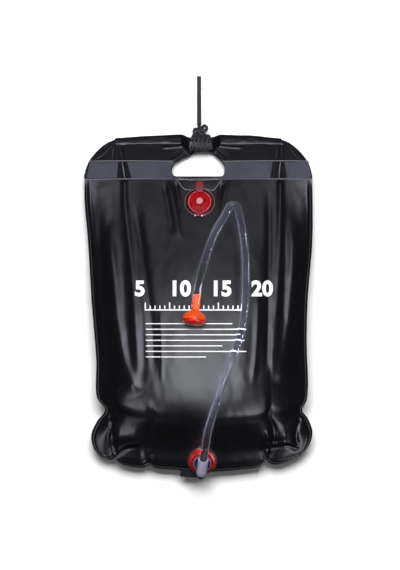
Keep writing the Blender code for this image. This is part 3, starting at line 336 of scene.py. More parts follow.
@dataclass(frozen=True)
class Fold:
    """A ridge or valley in the vinyl along a path read off the photograph; widths and rise in millimetres."""

    path: tuple[Pixel, ...]
    rise: float
    width: float
    end_width: float = 0.0
    fade: tuple[float, float] = (0.18, 0.18)
    fade_start: float = -0.02

    def lift(self, x: np.ndarray, y: np.ndarray) -> np.ndarray:
        """How far this fold raises the vinyl at each place.

        Args:
            x: places across, in metres.
            y: places along, in metres.

        Returns:
            Rises in metres.
        """
        line = smooth_line([from_photo(spot) for spot in self.path], 4)
        lengths = line_lengths(line)
        nearest = np.full(x.shape, np.inf)
        along = np.zeros(x.shape)
        for i, (a, b) in enumerate(zip(line, line[1:])):
            step = b - a
            t = np.clip(((x - a[0]) * step[0] + (y - a[1]) * step[1]) / step.dot(step), 0, 1)
            away = np.hypot(x - a[0] - t * step[0], y - a[1] - t * step[1])
            closer = away < nearest
            nearest = np.where(closer, away, nearest)
            along = np.where(closer, (lengths[i] + t * (lengths[i + 1] - lengths[i])) / lengths[-1], along)
        wide = (self.width + ((self.end_width or self.width) - self.width) * along) * MM
        rising = smoothstep(self.fade_start, self.fade[0], along)
        fading = rising * smoothstep(self.fade_start, self.fade[1], 1 - along)
        return self.rise * MM * fading * np.exp(-((nearest / wide) ** 2))


def all_lifts(folds: Iterable[Fold], x: np.ndarray, y: np.ndarray) -> np.ndarray:
    """The folds' rises together.

    Args:
        folds: the folds.
        x: places across, in metres.
        y: places along.

    Returns:
        The rises.
    """
    total = np.zeros(x.shape)
    for fold in folds:
        total = total + fold.lift(x, y)
    return total


BELLY_FOLDS = (
    Fold(
        (
            (124, 179), (125, 209), (127.5, 232), (130, 256), (132, 279), (134, 302), (136, 335),
            (137, 358), (138, 383),
        ),
        2.8, 4.5, 9.0, (0.02, 0.10),
    ),
    Fold(
        ((109, 225), (109.5, 246), (113, 278), (116, 318), (120.5, 348), (127, 371), (138, 395)),
        6.5, 11.0, 13.0, (0.18, 0.08),
    ),
    Fold(((133, 200), (139, 230), (144, 260), (149, 300), (153, 340), (155, 378)), -2.6, 7.0),
    Fold(((160, 305), (161.5, 330), (162, 360), (162, 384)), 1.3, 3.0),
    Fold(((101, 215), (102, 260), (104, 300), (108, 345), (114, 385)), -2.0, 8.0),
    Fold(((99, 300), (101, 340), (102, 375), (101, 395)), 1.4, 6.0),
    Fold(((88, 181), (88, 200), (91, 222)), 0.8, 8.0, 0, (0.02, 0.7)),
    Fold(((175, 181), (178, 195), (181, 213)), -2.5, 3.5),
    Fold(((168, 180), (172, 197), (176, 215), (180, 240)), 1.5, 4.0),
    Fold(((163, 182), (168, 205), (172, 235)), -1.5, 4.0),
    Fold(((222, 181), (219, 195), (216, 212)), -2.0, 3.5),
    Fold(((228, 180), (224, 200), (220, 225)), 1.2, 4.0),
    Fold(
        (
            (280.5, 179), (280.5, 209), (280, 232), (279.5, 256), (278.5, 279), (277, 310), (275, 346),
            (273, 379),
        ),
        3.4, 4.5, 9.0, (0.02, 0.10),
    ),
    Fold(
        ((293, 215), (293.5, 244), (293, 272), (290.5, 318), (286, 348), (279, 384)),
        7.0, 10.5, 13.0, (0.18, 0.08),
    ),
    Fold(((269, 186), (269, 240), (268, 290), (267, 340), (265, 378)), -2.5, 5.5),
    Fold(((258, 290), (257, 330), (255, 360), (252, 385)), 1.8, 5.0),
    Fold(((302.5, 250), (302.5, 306), (300, 346), (302, 381), (302, 395)), 1.6, 6.0),
    Fold(((118, 437), (136, 438)), 6.0, 15.0, 0, (0.01, 0.01)),
    Fold(((266, 438), (286, 437)), 6.0, 15.0, 0, (0.01, 0.01)),
    Fold(((107, 410), (111, 420), (112.5, 432), (113.5, 445), (115.5, 455)), -4.0, 4.0),
    Fold(((302, 410), (300, 418), (297, 428), (296, 437), (298, 447)), -4.0, 4.0),
    Fold(((115, 456), (120, 449.5), (126, 446), (133, 444.5), (142, 443)), 2.5, 3.0),
    Fold(((115, 459), (120, 452.5), (126, 449), (133, 447.5), (142, 446)), -2.5, 3.0),
    Fold(((300.8, 447.8), (296, 446), (288, 443), (275, 444.5), (262, 446)), 2.5, 3.0),
    Fold(((300.8, 450.8), (296, 449), (288, 446), (275, 447.5), (262, 449)), -2.5, 3.0),
    Fold(((148.6, 465.6), (149.5, 458), (151, 452)), -2.0, 3.0),
    Fold(((265.7, 459.7), (264, 454), (262, 448)), -2.5, 3.0),
)
HEADER_FOLDS = (
    Fold(((121, 146), (122, 160), (124.5, 180)), 1.4, 1.8, 2.4, (0.10, 0.0)),
    Fold(((281.4, 146), (280.5, 160), (279.6, 180)), 1.4, 1.8, 2.4, (0.10, 0.0)),
    Fold(((172, 161), (182, 152), (193, 145)), 1.2, 2.2),
    Fold(((178, 154), (187, 149), (195, 145)), -0.8, 2.0),
    Fold(((224, 161), (217, 152), (211, 145)), 1.2, 2.2),
    Fold(((219, 153), (214, 149), (208, 145)), -0.8, 2.0),
    Fold(((160, 147), (176, 146), (190, 144)), 0.9, 2.0),
    Fold(((244, 147), (228, 146), (214, 144)), 0.9, 2.0),
)


class Nodes:
    """A node tree being written: adds nodes with their values and links them."""

    def __init__(self, tree: bpy.types.NodeTree) -> None:
        """Start on a tree."""
        self.tree = tree

    def add(self, kind: str, values: Optional[dict] = None, **settings: object) -> bpy.types.Node:
        """A new node.

        Args:
            kind: the node's type, without its ShaderNode prefix.
            values: socket values, and sockets of other nodes to link from.
            settings: properties of the node itself.

        Returns:
            The node.
        """
        node = self.tree.nodes.new(kind if kind.startswith("Node") else "ShaderNode" + kind)
        for name, value in settings.items():
            setattr(node, name, value)
        for name, value in (values or {}).items():
            if isinstance(value, bpy.types.NodeSocket):
                self.tree.links.new(value, node.inputs[name])
            else:
                node.inputs[name].default_value = value
        return node

    def link(self, source: bpy.types.NodeSocket, target: bpy.types.NodeSocket) -> None:
        """Join two sockets."""
        self.tree.links.new(source, target)

    def maths(self, operation: str, *terms: object) -> bpy.types.NodeSocket:
        """A Math node's result from values or sockets.

        Args:
            operation: the node's operation.
            terms: its inputs in order.

        Returns:
            The node's output.
        """
        node = self.add("Math", operation=operation)
        for socket, term in zip(node.inputs, terms):
            if isinstance(term, bpy.types.NodeSocket):
                self.link(term, socket)
            else:
                socket.default_value = term
        return node.outputs[0]


def new_group(name: str, takes: dict[str, tuple[str, object]], gives: dict[str, str]) -> bpy.types.NodeTree:
    """An empty shader node group.

    Args:
        name: the group's name.
        takes: each input's kind and default value.
        gives: each output's kind.

    Returns:
        The group's tree.
    """
    tree = bpy.data.node_groups.new(name, "ShaderNodeTree")
    for label, (kind, value) in takes.items():
        socket = tree.interface.new_socket(name=label, in_out="INPUT", socket_type="NodeSocket" + kind)
        socket.default_value = value
    for label, kind in gives.items():
        tree.interface.new_socket(name=label, in_out="OUTPUT", socket_type="NodeSocket" + kind)
    return tree


def surface_detail_group() -> bpy.types.NodeTree:
    """Fine grain and slow unevenness that every moulded or rolled surface here shares.

    Returns:
        The group, made once.
    """
    name = "surface_detail"
    if name in bpy.data.node_groups:
        return bpy.data.node_groups[name]
    tree = new_group(
        name,
        {
            "Colour": ("Color", (0.5, 0.5, 0.5, 1)),
            "Roughness": ("Float", 0.4),
            "Grain Scale": ("Float", 900.0),
            "Mottle Scale": ("Float", 40.0),
            "Mottle": ("Float", 0.15),
            "Roughness Spread": ("Float", 0.08),
        },
        {"Colour": "Color", "Roughness": "Float", "Height": "Float"},
    )
    nodes = Nodes(tree)
    given = nodes.add("NodeGroupInput").outputs
    place = nodes.add("TexCoord").outputs["Object"]
    fine = {"Vector": place, "Scale": given["Grain Scale"], "Detail": 3.0, "Roughness": 0.6}
    grain = nodes.add("TexNoise", fine)
    broad = {"Vector": place, "Scale": given["Mottle Scale"], "Detail": 4.0, "Roughness": 0.55}
    slow = nodes.add("TexNoise", broad)
    centred = nodes.maths("SUBTRACT", slow.outputs["Fac"], 0.5)
    shade = nodes.maths("MULTIPLY_ADD", centred, nodes.maths("MULTIPLY", given["Mottle"], 2.0), 1.0)
    tint = nodes.add("VectorMath", {0: given["Colour"]}, operation="SCALE")
    nodes.link(shade, tint.inputs["Scale"])
    spread = nodes.maths("MULTIPLY", given["Roughness Spread"], 2.0)
    rough = nodes.maths("MULTIPLY_ADD", centred, spread, given["Roughness"])
    finish = nodes.add("NodeGroupOutput").inputs
    nodes.link(tint.outputs[0], finish["Colour"])
    nodes.link(rough, finish["Roughness"])
    nodes.link(grain.outputs["Fac"], finish["Height"])
    return tree


FIBRES_ROUND = 40.0
FIBRES_PER_METRE = 900.0


def braid_group() -> bpy.types.NodeTree:
    """Crossing strands that follow a rope's own map: U round it, V along it in metres.

    Returns:
        The group, made once.
    """
    name = "braid"
    if name in bpy.data.node_groups:
        return bpy.data.node_groups[name]
    tree = new_group(
        name,
        {"Strands": ("Float", 6.0), "Lay": ("Float", 110.0)},
        {"Strand": "Float", "Fibre": "Float"},
    )
    nodes = Nodes(tree)
    given = nodes.add("NodeGroupInput").outputs
    uv = nodes.add("SeparateXYZ", {"Vector": nodes.add("UVMap", uv_map="lay").outputs[0]})
    around = nodes.maths("MULTIPLY", uv.outputs["X"], given["Strands"])
    along = nodes.maths("MULTIPLY", uv.outputs["Y"], given["Lay"])
    waves = []
    for operation in ("ADD", "SUBTRACT"):
        turn = nodes.maths("MULTIPLY", nodes.maths(operation, around, along), 2 * math.pi)
        waves.append(nodes.maths("SINE", turn))
    strand = nodes.maths("MAXIMUM", waves[0], waves[1])
    fibre_across = nodes.maths("MULTIPLY", uv.outputs["X"], FIBRES_ROUND)
    fibre_along = nodes.maths("MULTIPLY", uv.outputs["Y"], FIBRES_PER_METRE)
    scaled = nodes.add("CombineXYZ", {"X": fibre_across, "Y": fibre_along})
    fibre = nodes.add("TexNoise", {"Vector": scaled.outputs[0], "Scale": 1.0, "Detail": 2.0})
    finish = nodes.add("NodeGroupOutput").inputs
    nodes.link(nodes.maths("MULTIPLY_ADD", strand, 0.5, 0.5), finish["Strand"])
    nodes.link(fibre.outputs["Fac"], finish["Fibre"])
    return tree


@dataclass(frozen=True)
class Grain:
    """Unevenness of a surface: its fine grain, and the slow mottling of its colour and gloss."""

    scale: float = 900.0
    strength: float = 0.08
    depth: float = 0.00004
    mottle_scale: float = 90.0
    mottle: float = 0.12
    spread: float = 0.05


@dataclass(frozen=True)
class Finish:
    """A moulded or rolled surface: its colour, gloss, grain and clear coat."""

    name: str
    slot: str
    colour: Colour
    roughness: float
    grain: Grain = Grain()
    coat: float = 0.0
    coat_roughness: float = 0.08
    specular: float = 0.5

    def shader(self, material: bpy.types.Material) -> tuple[Nodes, bpy.types.Node, bpy.types.Node]:
        """The Principled shader with the shared detail wired in.

        Args:
            material: the material to fill.

        Returns:
            The tree's writer, the shader and the detail node.
        """
        nodes = Nodes(material.node_tree)
        shader = material.node_tree.nodes["Principled BSDF"]
        detail = nodes.add("Group")
        detail.node_tree = surface_detail_group()
        for label, value in {
            "Colour": (*self.colour, 1),
            "Roughness": self.roughness,
            "Grain Scale": self.grain.scale,
            "Mottle Scale": self.grain.mottle_scale,
            "Mottle": self.grain.mottle,
            "Roughness Spread": self.grain.spread,
        }.items():
            detail.inputs[label].default_value = value
        nodes.link(detail.outputs["Colour"], shader.inputs["Base Color"])
        nodes.link(detail.outputs["Roughness"], shader.inputs["Roughness"])
        height = detail.outputs["Height"]
        values = {"Strength": self.grain.strength, "Distance": self.grain.depth, "Height": height}
        bump = nodes.add("Bump", values)
        nodes.link(bump.outputs[0], shader.inputs["Normal"])
        shader.inputs["Coat Weight"].default_value = self.coat
        shader.inputs["Coat Roughness"].default_value = self.coat_roughness
        shader.inputs["Specular IOR Level"].default_value = self.specular
        return nodes, shader, detail

    def dress(self, material: bpy.types.Material) -> None:
        """Fill the material's tree.

        Args:
            material: the material.
        """
        self.shader(material)

    def material(self) -> bpy.types.Material:
        """The finish's material, made once, under a name that no solid's material has.

        Returns:
            The material.
        """
        label = "finish_" + self.name
        if label in bpy.data.materials:
            return bpy.data.materials[label]
        material = bpy.data.materials.new(label)
        material.use_nodes = True
        self.dress(material)
        return material


@dataclass(frozen=True)
class BraidFinish(Finish):
    """Braided cord: grooves between the strands darkened as painted shade, and fibre along them."""

    # Share of the colour left in the grooves between the strands: painted shade.
    groove: float = 0.02
    strands: float = 4.0
    lay: float = 80.0
    fleck_gain: float = 8.0
    fleck_offset: float = -3.1
    fibre_height: float = 0.25
    relief: float = 0.0006
    relief_strength: float = 0.6

    def dress(self, material: bpy.types.Material) -> None:
        """Fill the material's tree.

        Args:
            material: the material.
        """
        nodes, shader, detail = self.shader(material)
        braid = nodes.add("Group")
        braid.node_tree = braid_group()
        braid.inputs["Strands"].default_value = self.strands
        braid.inputs["Lay"].default_value = self.lay
        strand = braid.outputs["Strand"]
        # Painted shade: the colour falls almost to black in the grooves between the strands.
        shade = nodes.maths("MULTIPLY_ADD", strand, 1.0 - self.groove, self.groove)
        fleck = nodes.maths("MULTIPLY_ADD", braid.outputs["Fibre"], self.fleck_gain, self.fleck_offset)
        tint = nodes.add("VectorMath", {0: detail.outputs["Colour"]}, operation="SCALE")
        nodes.link(nodes.maths("MULTIPLY", shade, fleck), tint.inputs["Scale"])
        nodes.link(tint.outputs[0], shader.inputs["Base Color"])
        height = nodes.maths("MULTIPLY_ADD", braid.outputs["Fibre"], self.fibre_height, strand)
        values = {"Strength": self.relief_strength, "Distance": self.relief, "Height": height}
        bump = nodes.add("Bump", values)
        nodes.link(bump.outputs[0], shader.inputs["Normal"])


@dataclass(frozen=True)
class ClearFinish(Finish):
    """Clear flexible vinyl, which bends light as a glass tube does and shines along its edges."""

    clear: float = 1.0
    bend: float = 1.45
    sheen: float = 0.0
    sheen_roughness: float = 0.2

    def dress(self, material: bpy.types.Material) -> None:
        """Fill the material's tree.

        Args:
            material: the material.
        """
        _, shader, _ = self.shader(material)
        shader.inputs["Transmission Weight"].default_value = self.clear
        shader.inputs["IOR"].default_value = self.bend
        shader.inputs["Sheen Weight"].default_value = self.sheen
        shader.inputs["Sheen Roughness"].default_value = self.sheen_roughness


VINYL_GRAIN = Grain(700.0, 0.12, 0.00008, 26.0, 0.20, 0.07)
BEAD_GRAIN = Grain(900.0, 0.10, 0.00005, 60.0, 0.2, 0.06)
GLOSSY_GRAIN = Grain(900.0, 0.05, 0.00003, 80.0, 0.10, 0.05)
RED_GRAIN = Grain(900.0, 0.06, 0.00004, 90.0, 0.12, 0.05)
FITTING_GRAIN = Grain(900.0, 0.08, 0.00004, 90.0, 0.10, 0.05)


class Finishes(Enum):
    """Every finish on the bag."""

    VINYL = Finish("black_vinyl", "bag_vinyl", (0.0032, 0.0034, 0.0046), 0.31, VINYL_GRAIN)
    HEADER = Finish(
        "header_vinyl", "header_vinyl", (0.0036, 0.0038, 0.0052), 0.32,
        replace(VINYL_GRAIN, mottle_scale=30.0),
    )
    # Lighter than the vinyl: partly the band's own rougher tone, partly painted sheen.
    BAND = Finish(
        "band_vinyl", "band_vinyl", (0.032, 0.034, 0.049), 0.52,
        Grain(800.0, 0.15, 0.00008, 22.0, 0.55, 0.10),
    )
    # Light grey beads: painted highlights along the weld lines, the hem's root, the band creases and the dip
    # lines.
    WELD_HIGHLIGHT = Finish("weld_highlight", "header_vinyl", (0.15, 0.15, 0.17), 0.30, BEAD_GRAIN)
    # Dark grey, yet far lighter than the vinyl: painted highlights along creases and round the weld flange.
    CREASE_HIGHLIGHT = Finish("crease_highlight_vinyl", "header_vinyl", (0.035, 0.036, 0.042), 0.30, BEAD_GRAIN)
    RIM = Finish("hole_rim", "header_vinyl", (0.003, 0.003, 0.004), 0.35, BEAD_GRAIN)
    FILLER = Finish(
        "filler_red", "filler_red", (0.26, 0.001, 0.003), 0.21, Grain(900.0, 0.02, 0.00001, 90.0, 0.06, 0.03),
        coat_roughness=0.10, specular=0.20,
    )
    NECK = Finish(
        "neck_red", "filler_red", (0.035, 0.0015, 0.003), 0.26, RED_GRAIN,
        coat=0.1, coat_roughness=0.10, specular=0.4,
    )
    # Pale pink: a painted highlight along the filler flange's rim.
    NECK_EDGE_HIGHLIGHT = Finish("neck_edge_highlight", "filler_red", (0.20, 0.11, 0.12), 0.22, RED_GRAIN)
    KNUCKLE = Finish(
        "knuckle_red", "filler_red", (0.16, 0.002, 0.004), 0.10,
        Grain(900.0, 0.04, 0.00003, 90.0, 0.12, 0.03), coat=1.0, coat_roughness=0.05,
    )
    CAP_TAB = Finish(
        "tab_red", "filler_red", (0.13, 0.012, 0.014), 0.42, Grain(900.0, 0.10, 0.00005, 90.0, 0.15, 0.05),
    )
    # Darker red than the cap; on the ring in the button's groove it is painted shade.
    PIN = Finish("pin_red", "filler_red", (0.12, 0.002, 0.004), 0.35, Grain())
    OUTLET = Finish(
        "outlet_red", "outlet_red", (0.29, 0.002, 0.003), 0.26, RED_GRAIN,
        coat=0.3, coat_roughness=0.10,
    )
    PATCH = Finish(
        "weld_disc", "patch_vinyl", (0.020, 0.019, 0.017), 0.20,
        Grain(mottle_scale=60.0, mottle=0.2, spread=0.06),
    )
    RING = Finish("ring_mauve", "collar_grey", (0.035, 0.018, 0.040), 0.25, FITTING_GRAIN)
    # Pale mauve: a painted highlight along the elbow ring's rim.
    RING_EDGE_HIGHLIGHT = Finish("ring_edge", "collar_grey", (0.26, 0.18, 0.26), 0.25, FITTING_GRAIN)
    # Pale: a painted highlight along the weld disc's edge.
    DISC_EDGE_HIGHLIGHT = Finish("disc_edge", "patch_vinyl", (0.060, 0.055, 0.045), 0.25, FITTING_GRAIN)
    TAB = Finish("seam_tab", "header_vinyl", (0.003, 0.003, 0.004), 0.60, FITTING_GRAIN, specular=0.12)
    GREY = Finish("grey_plastic", "collar_grey", (0.28, 0.29, 0.40), 0.30, FITTING_GRAIN)
    BLACK = Finish("black_plastic", "fitting_black", (0.008, 0.008, 0.010), 0.32, Grain(mottle=0.2))
    ORANGE = Finish("orange_plastic", "head_orange", (0.62, 0.060, 0.007), 0.24, GLOSSY_GRAIN, coat=0.3)
    ROSE = Finish(
        "rose_red", "rose_red", (0.60, 0.010, 0.004), 0.24, replace(GLOSSY_GRAIN, mottle=0.12), coat=0.3
    )
    RUBBER = Finish(
        "seal_rubber", "seal_rubber", (0.012, 0.012, 0.012), 0.65,
        Grain(900.0, 0.2, 0.00006, 80.0, 0.2, 0.05),
    )
    HOSE = ClearFinish(
        "clear_vinyl", "hose_clear", (0.90, 0.92, 0.98), 0.05, Grain(500.0, 0.02, 0.00001, 40.0, 0.03, 0.02),
        clear=1.0, bend=1.20, sheen=1.0, sheen_roughness=0.13,
    )
    ROPE = BraidFinish(
        "braided_rope", "rope_black", (0.028, 0.028, 0.030), 0.60, Grain(900.0, 0.1, 0.0001, 60.0, 0.2, 0.05),
    )
    INK = Finish(
        "white_ink", "bag_vinyl", (0.82, 0.82, 0.83), 0.45, Grain(900.0, 0.05, 0.00003, 200.0, 0.05, 0.05),
    )


@dataclass
class Piece:
    """A finished piece and how it belongs to the object."""

    name: str
    finish: Finishes
    body: str = "bag"
    replaces: tuple[str, ...] = ()
    sharp: float = 35.0
    flat: bool = False

    def publish(self, bm: bmesh.types.BMesh, ride: bool = True) -> bpy.types.Object:
        """Turn the bmesh into the piece's object, at the origin with its place in its mesh.

        Args:
            bm: the shape in world metres, which is freed.
            ride: whether the piece moves with its body alone.

        Returns:
            The object.
        """
        bmesh.ops.recalc_face_normals(bm, faces=bm.faces)
        mesh = bpy.data.meshes.new(self.name)
        bm.to_mesh(mesh)
        bm.free()
        if not self.flat:
            mesh.shade_smooth()
            mesh.set_sharp_from_angle(angle=math.radians(self.sharp))
        mesh.materials.append(self.finish.value.material())
        obj = bpy.data.objects.new(self.name, mesh)
        bpy.context.scene.collection.objects.link(obj)
        if self.replaces:
            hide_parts(*self.replaces)
        if ride:
            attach(obj, self.body)
        log.info("%s: %d faces on %s", self.name, len(mesh.polygons), self.body)
        return obj


def rounded(profile: Profile, radius: float, steps: int = 4) -> list[tuple[float, float]]:
    """A profile with its inner corners turned into small curves.

    Args:
        profile: (radius, height) points.
        radius: how far before and after a corner its curve reaches.
        steps: pieces in each curve.

    Returns:
        The new profile.
    """
    points = [Vector(point) for point in profile]
    result = [points[0]]
    for a, b, c in zip(points, points[1:], points[2:]):
        before = a - b
        after = c - b
        reach = min(radius, before.length * 0.45, after.length * 0.45)
        start = b + before.normalized() * reach
        end = b + after.normalized() * reach
        for i in range(steps + 1):
            t = i / steps
            result.append(start * (1 - t) ** 2 + b * 2 * t * (1 - t) + end * t**2)
    result.append(points[-1])
    return [(point.x, point.y) for point in result]


def spun(profile: Profile, place: Matrix, steps: int = 96, ring: bool = False) -> bmesh.types.BMesh:
    """A turned shape round the place's Z axis.

    Args:
        profile: (radius, height) points down its outer side.
        place: where the axis stands.
        steps: faces round it.
        ring: whether the profile closes on itself.

    Returns:
        The shape in world metres.
    """
    bm = bmesh.new()
    verts = [bm.verts.new((radius, 0, height)) for radius, height in profile]
    edges = [bm.edges.new(pair) for pair in zip(verts, verts[1:])]
    if ring:
        edges.append(bm.edges.new((verts[-1], verts[0])))
    bmesh.ops.spin(
        bm, geom=[*verts, *edges], cent=(0, 0, 0), axis=(0, 0, 1),
        angle=2 * math.pi, steps=steps, use_merge=True,
    )
    bmesh.ops.remove_doubles(bm, verts=bm.verts, dist=1e-6)
    bmesh.ops.transform(bm, matrix=place, verts=bm.verts)
    return bm


def ring_bead(radius: float, height: float, size: float, steps: int = 10) -> list[tuple[float, float]]:
    """Section of a thin round ring, to be spun.

    Args:
        radius: of the ring's middle.
        height: of its middle.
        size: radius of its section.
        steps: points round the section.

    Returns:
        The section's points.
    """
    angles = [-2 * math.pi * i / steps for i in range(steps)]
    return [(radius + size * math.cos(a), height + size * math.sin(a)) for a in angles]


def long_edges(bm: bmesh.types.BMesh) -> list[bmesh.types.BMEdge]:
    """The edges that run from end to end of a fresh cylinder."""
    return [edge for edge in bm.edges if abs(edge.verts[0].co.z - edge.verts[1].co.z) > 1]


def absorb(whole: bmesh.types.BMesh, part: bmesh.types.BMesh) -> None:
    """Add a part to a whole; the part is freed.

    Args:
        whole: the mesh that grows.
        part: what is added.
    """
    mesh = bpy.data.meshes.new("part")
    part.to_mesh(mesh)
    part.free()
    whole.from_mesh(mesh)
    bpy.data.meshes.remove(mesh)


def swept(
    path: np.ndarray,
    radius: float | np.ndarray,
    sides: int = 16,
    caps: bool = True,
    up: Optional[Vector] = None,
    section: Optional[Callable[[np.ndarray, np.ndarray], np.ndarray]] = None,
) -> bmesh.types.BMesh:
    """A tube along a path, with a map named lay: U round it and V along it in metres.

    Args:
        path: points along the middle.
        radius: one radius, or one for each point.
        sides: faces round the tube.
        caps: whether the ends are closed.
        up: keeps the tube's seam towards this direction; without it the frame rolls with the path.
        section: factor on the radius from the angle round and the length along.

    Returns:
        The tube in world metres.
    """
    rings = len(path)
    radii = np.broadcast_to(np.asarray(radius, float), (rings,))
    lengths = line_lengths(path)
    tangents = np.gradient(path, axis=0)
    tangents /= np.linalg.norm(tangents, axis=1)[:, None]
    start = np.array(up if up is not None else (0.0, 0.0, 1.0), float)
    if abs(tangents[0].dot(start)) > 0.9:
        start = np.array((1.0, 0.0, 0.0))
    normal = start - tangents[0] * tangents[0].dot(start)
    normals = []
    for tangent in tangents:
        reference = normal if up is None else start
        normal = reference - tangent * tangent.dot(reference)
        normal /= np.linalg.norm(normal)
        normals.append(normal)
    normals = np.array(normals)
    sideways = np.cross(tangents, normals)
    bm = bmesh.new()
    bmesh.ops.create_cone(bm, cap_ends=caps, cap_tris=False, segments=sides, radius1=1, radius2=1, depth=2)
    bmesh.ops.subdivide_edges(bm, edges=long_edges(bm), cuts=rings - 2, use_grid_fill=True)
    layer = bm.loops.layers.uv.new("lay")
    where = {}
    for vert in bm.verts:
        ring = round((vert.co.z + 1) / 2 * (rings - 1))
        angle = math.atan2(vert.co.y, vert.co.x) % (2 * math.pi)
        where[vert] = (ring, angle)
        factor = 1.0 if section is None else float(section(np.array(angle), np.array(lengths[ring])))
        reach = radii[ring] * factor
        vert.co = path[ring] + reach * (math.cos(angle) * sideways[ring] + math.sin(angle) * normals[ring])
    for face in bm.faces:
        angles = [where[loop.vert][1] for loop in face.loops]
        wraps = max(angles) - min(angles) > math.pi
        for loop, angle in zip(face.loops, angles):
            if wraps and angle < math.pi:
                angle += 2 * math.pi
            loop[layer].uv = (angle / (2 * math.pi), lengths[where[loop.vert][0]])
    return bm


def rounded_block(
    size: Sequence[float], place: Matrix, corner: float, edge: float, segments: int = 4
) -> bmesh.types.BMesh:
    """A block whose upright corners and then all its edges are rounded.

    Args:
        size: length, width and thickness.
        place: where its middle stands.
        corner: radius of the upright corners.
        edge: radius of the other edges.
        segments: faces in each rounding.

    Returns:
        The block in world metres.
    """
    bm = bmesh.new()
    bmesh.ops.create_cube(bm, size=1)
    bmesh.ops.scale(bm, vec=size, verts=bm.verts)
    upright = [e for e in bm.edges if abs(e.verts[0].co.z - e.verts[1].co.z) > size[2] / 2]
    shape = {"profile": 0.5, "affect": "EDGES", "material": -1}
    bmesh.ops.bevel(bm, geom=upright, offset=corner, segments=segments, **shape)
    level = [e for e in bm.edges if abs(e.verts[0].co.z - e.verts[1].co.z) < 1e-7]
    rest = [e for e in level if len(e.link_faces) == 2 and e.calc_face_angle(0) > 1.0]
    bmesh.ops.bevel(bm, geom=rest, offset=edge, segments=3, **shape)
    bmesh.ops.transform(bm, matrix=place, verts=bm.verts)
    return bm


def cut_flat(outlines: Sequence[np.ndarray], step: float) -> bmesh.types.BMesh:
    """A flat filled shape, cut into small cells so that it can be laid over a curved one.

    Args:
        outlines: closed outlines, the inner ones being holes.
        step: size of a cell.

    Returns:
        The flat shape at Z = 0.
    """
    curve = bpy.data.curves.new("outline", "CURVE")
    curve.dimensions = "2D"
    curve.fill_mode = "BOTH"
    for outline in outlines:
        spline = curve.splines.new("POLY")
        spline.points.add(len(outline) - 1)
        for point, spot in zip(spline.points, outline):
            point.co = (float(spot[0]), float(spot[1]), 0, 1)
        spline.use_cyclic_u = True
    return cells_from(curve, step)


def cells_from(curve: bpy.types.Curve, step: float) -> bmesh.types.BMesh:
    """A filled curve or text as a mesh cut into small cells; the curve is removed.

    Args:
        curve: the curve or text.
        step: the cells' size.

    Returns:
        The flat shape.
    """
    holder = bpy.data.objects.new("outline", curve)
    bpy.context.scene.collection.objects.link(holder)
    graph = bpy.context.evaluated_depsgraph_get()
    mesh = bpy.data.meshes.new_from_object(holder.evaluated_get(graph))
    bpy.data.objects.remove(holder, do_unlink=True)
    bm = bmesh.new()
    bm.from_mesh(mesh)
    bpy.data.meshes.remove(mesh)
    bmesh.ops.remove_doubles(bm, verts=bm.verts, dist=1e-6)
    for axis in (0, 1):
        low = min(vert.co[axis] for vert in bm.verts)
        high = max(vert.co[axis] for vert in bm.verts)
        for place in np.arange(low + step, high, step):
            spot = [0.0, 0.0, 0.0]
            normal = [0.0, 0.0, 0.0]
            spot[axis] = place
            normal[axis] = 1.0
            geom = [*bm.verts, *bm.edges, *bm.faces]
            bmesh.ops.bisect_plane(bm, geom=geom, dist=1e-6, plane_co=spot, plane_no=normal)
    return bm


def thicken(bm: bmesh.types.BMesh, thickness: float) -> None:
    """Give a sheet its thickness, upwards.

    Args:
        bm: the sheet.
        thickness: its thickness in metres.
    """
    made = bmesh.ops.extrude_face_region(bm, geom=bm.faces[:])["geom"]
    raised = [item for item in made if isinstance(item, bmesh.types.BMVert)]
    bmesh.ops.translate(bm, vec=(0, 0, thickness), verts=raised)


@dataclass(frozen=True)
class Bead:
    """A thin raised line in the vinyl along a path read off the photograph, coloured lighter than the vinyl
    as a painted highlight; its radius in millimetres.
    """

    name: str
    path: tuple[Pixel, ...]
    radius: float
    finish: Finishes = Finishes.WELD_HIGHLIGHT
    tapered: bool = False

    def build(self, height: Callable[[np.ndarray, np.ndarray], np.ndarray]) -> None:
        """Lay the line on a surface.

        Args:
            height: the surface's height at places across and along.
        """
        line = even_line(smooth_line([from_photo(spot) for spot in self.path], 6), 0.0015)
        lengths = line_lengths(line)
        swell = np.sin(np.pi * np.clip(lengths / lengths[-1], 0.03, 0.97)) ** 0.5 if self.tapered else 1.0
        path = np.column_stack([line, height(line[:, 0], line[:, 1])])
        tube = swept(path, self.radius * MM * swell * np.ones(len(line)), 8, up=Vector((0, 0, 1)))
        Piece(self.name, self.finish).publish(tube)


def crease(name: str, path: tuple[Pixel, ...], radius: float) -> Bead:
    """A line painted lighter than the vinyl as a highlight along a crease, thinning out towards its ends."""
    return Bead(name, path, radius, Finishes.CREASE_HIGHLIGHT, True)


DROP_HEIGHT = 0.3


def height_on(skin: BVHTree) -> Callable[[np.ndarray, np.ndarray], np.ndarray]:
    """The height of a surface seen from above.

    Args:
        skin: the surface.

    Returns:
        A function of places across and along.
    """

    def height(x: np.ndarray, y: np.ndarray) -> np.ndarray:
        """Heights where lines dropped at x and y meet the surface."""
        hits = [skin.ray_cast(Vector((a, b, DROP_HEIGHT)), Vector((0, 0, -1)))[0] for a, b in zip(x, y)]
        return np.array([hit.z for hit in hits])

    return height


@dataclass(frozen=True)
class Seat:
    """A round place where a fitting is welded into the front sheet."""

    u: float
    v: float
    tilt: float
    flat_radius: float
    fade_radius: float
    pocket_radius: float
    pocket_depth: float

    @property
    def place(self) -> Matrix:
        """The fitting's own frame, square to the belly."""
        spot = FORM.on_belly(self.u, self.v)
        return Matrix.Translation(spot) @ Matrix.Rotation(self.tilt, 4, "X")


FILLER_SEAT = Seat(0.009, 0.0780, math.radians(-19), 0.0275, 0.043, 0.0198, 0.0150)
OUTLET_SEAT = Seat(0.009, 0.9490, math.radians(27), 0.0275, 0.046, 0.0128, 0.0105)

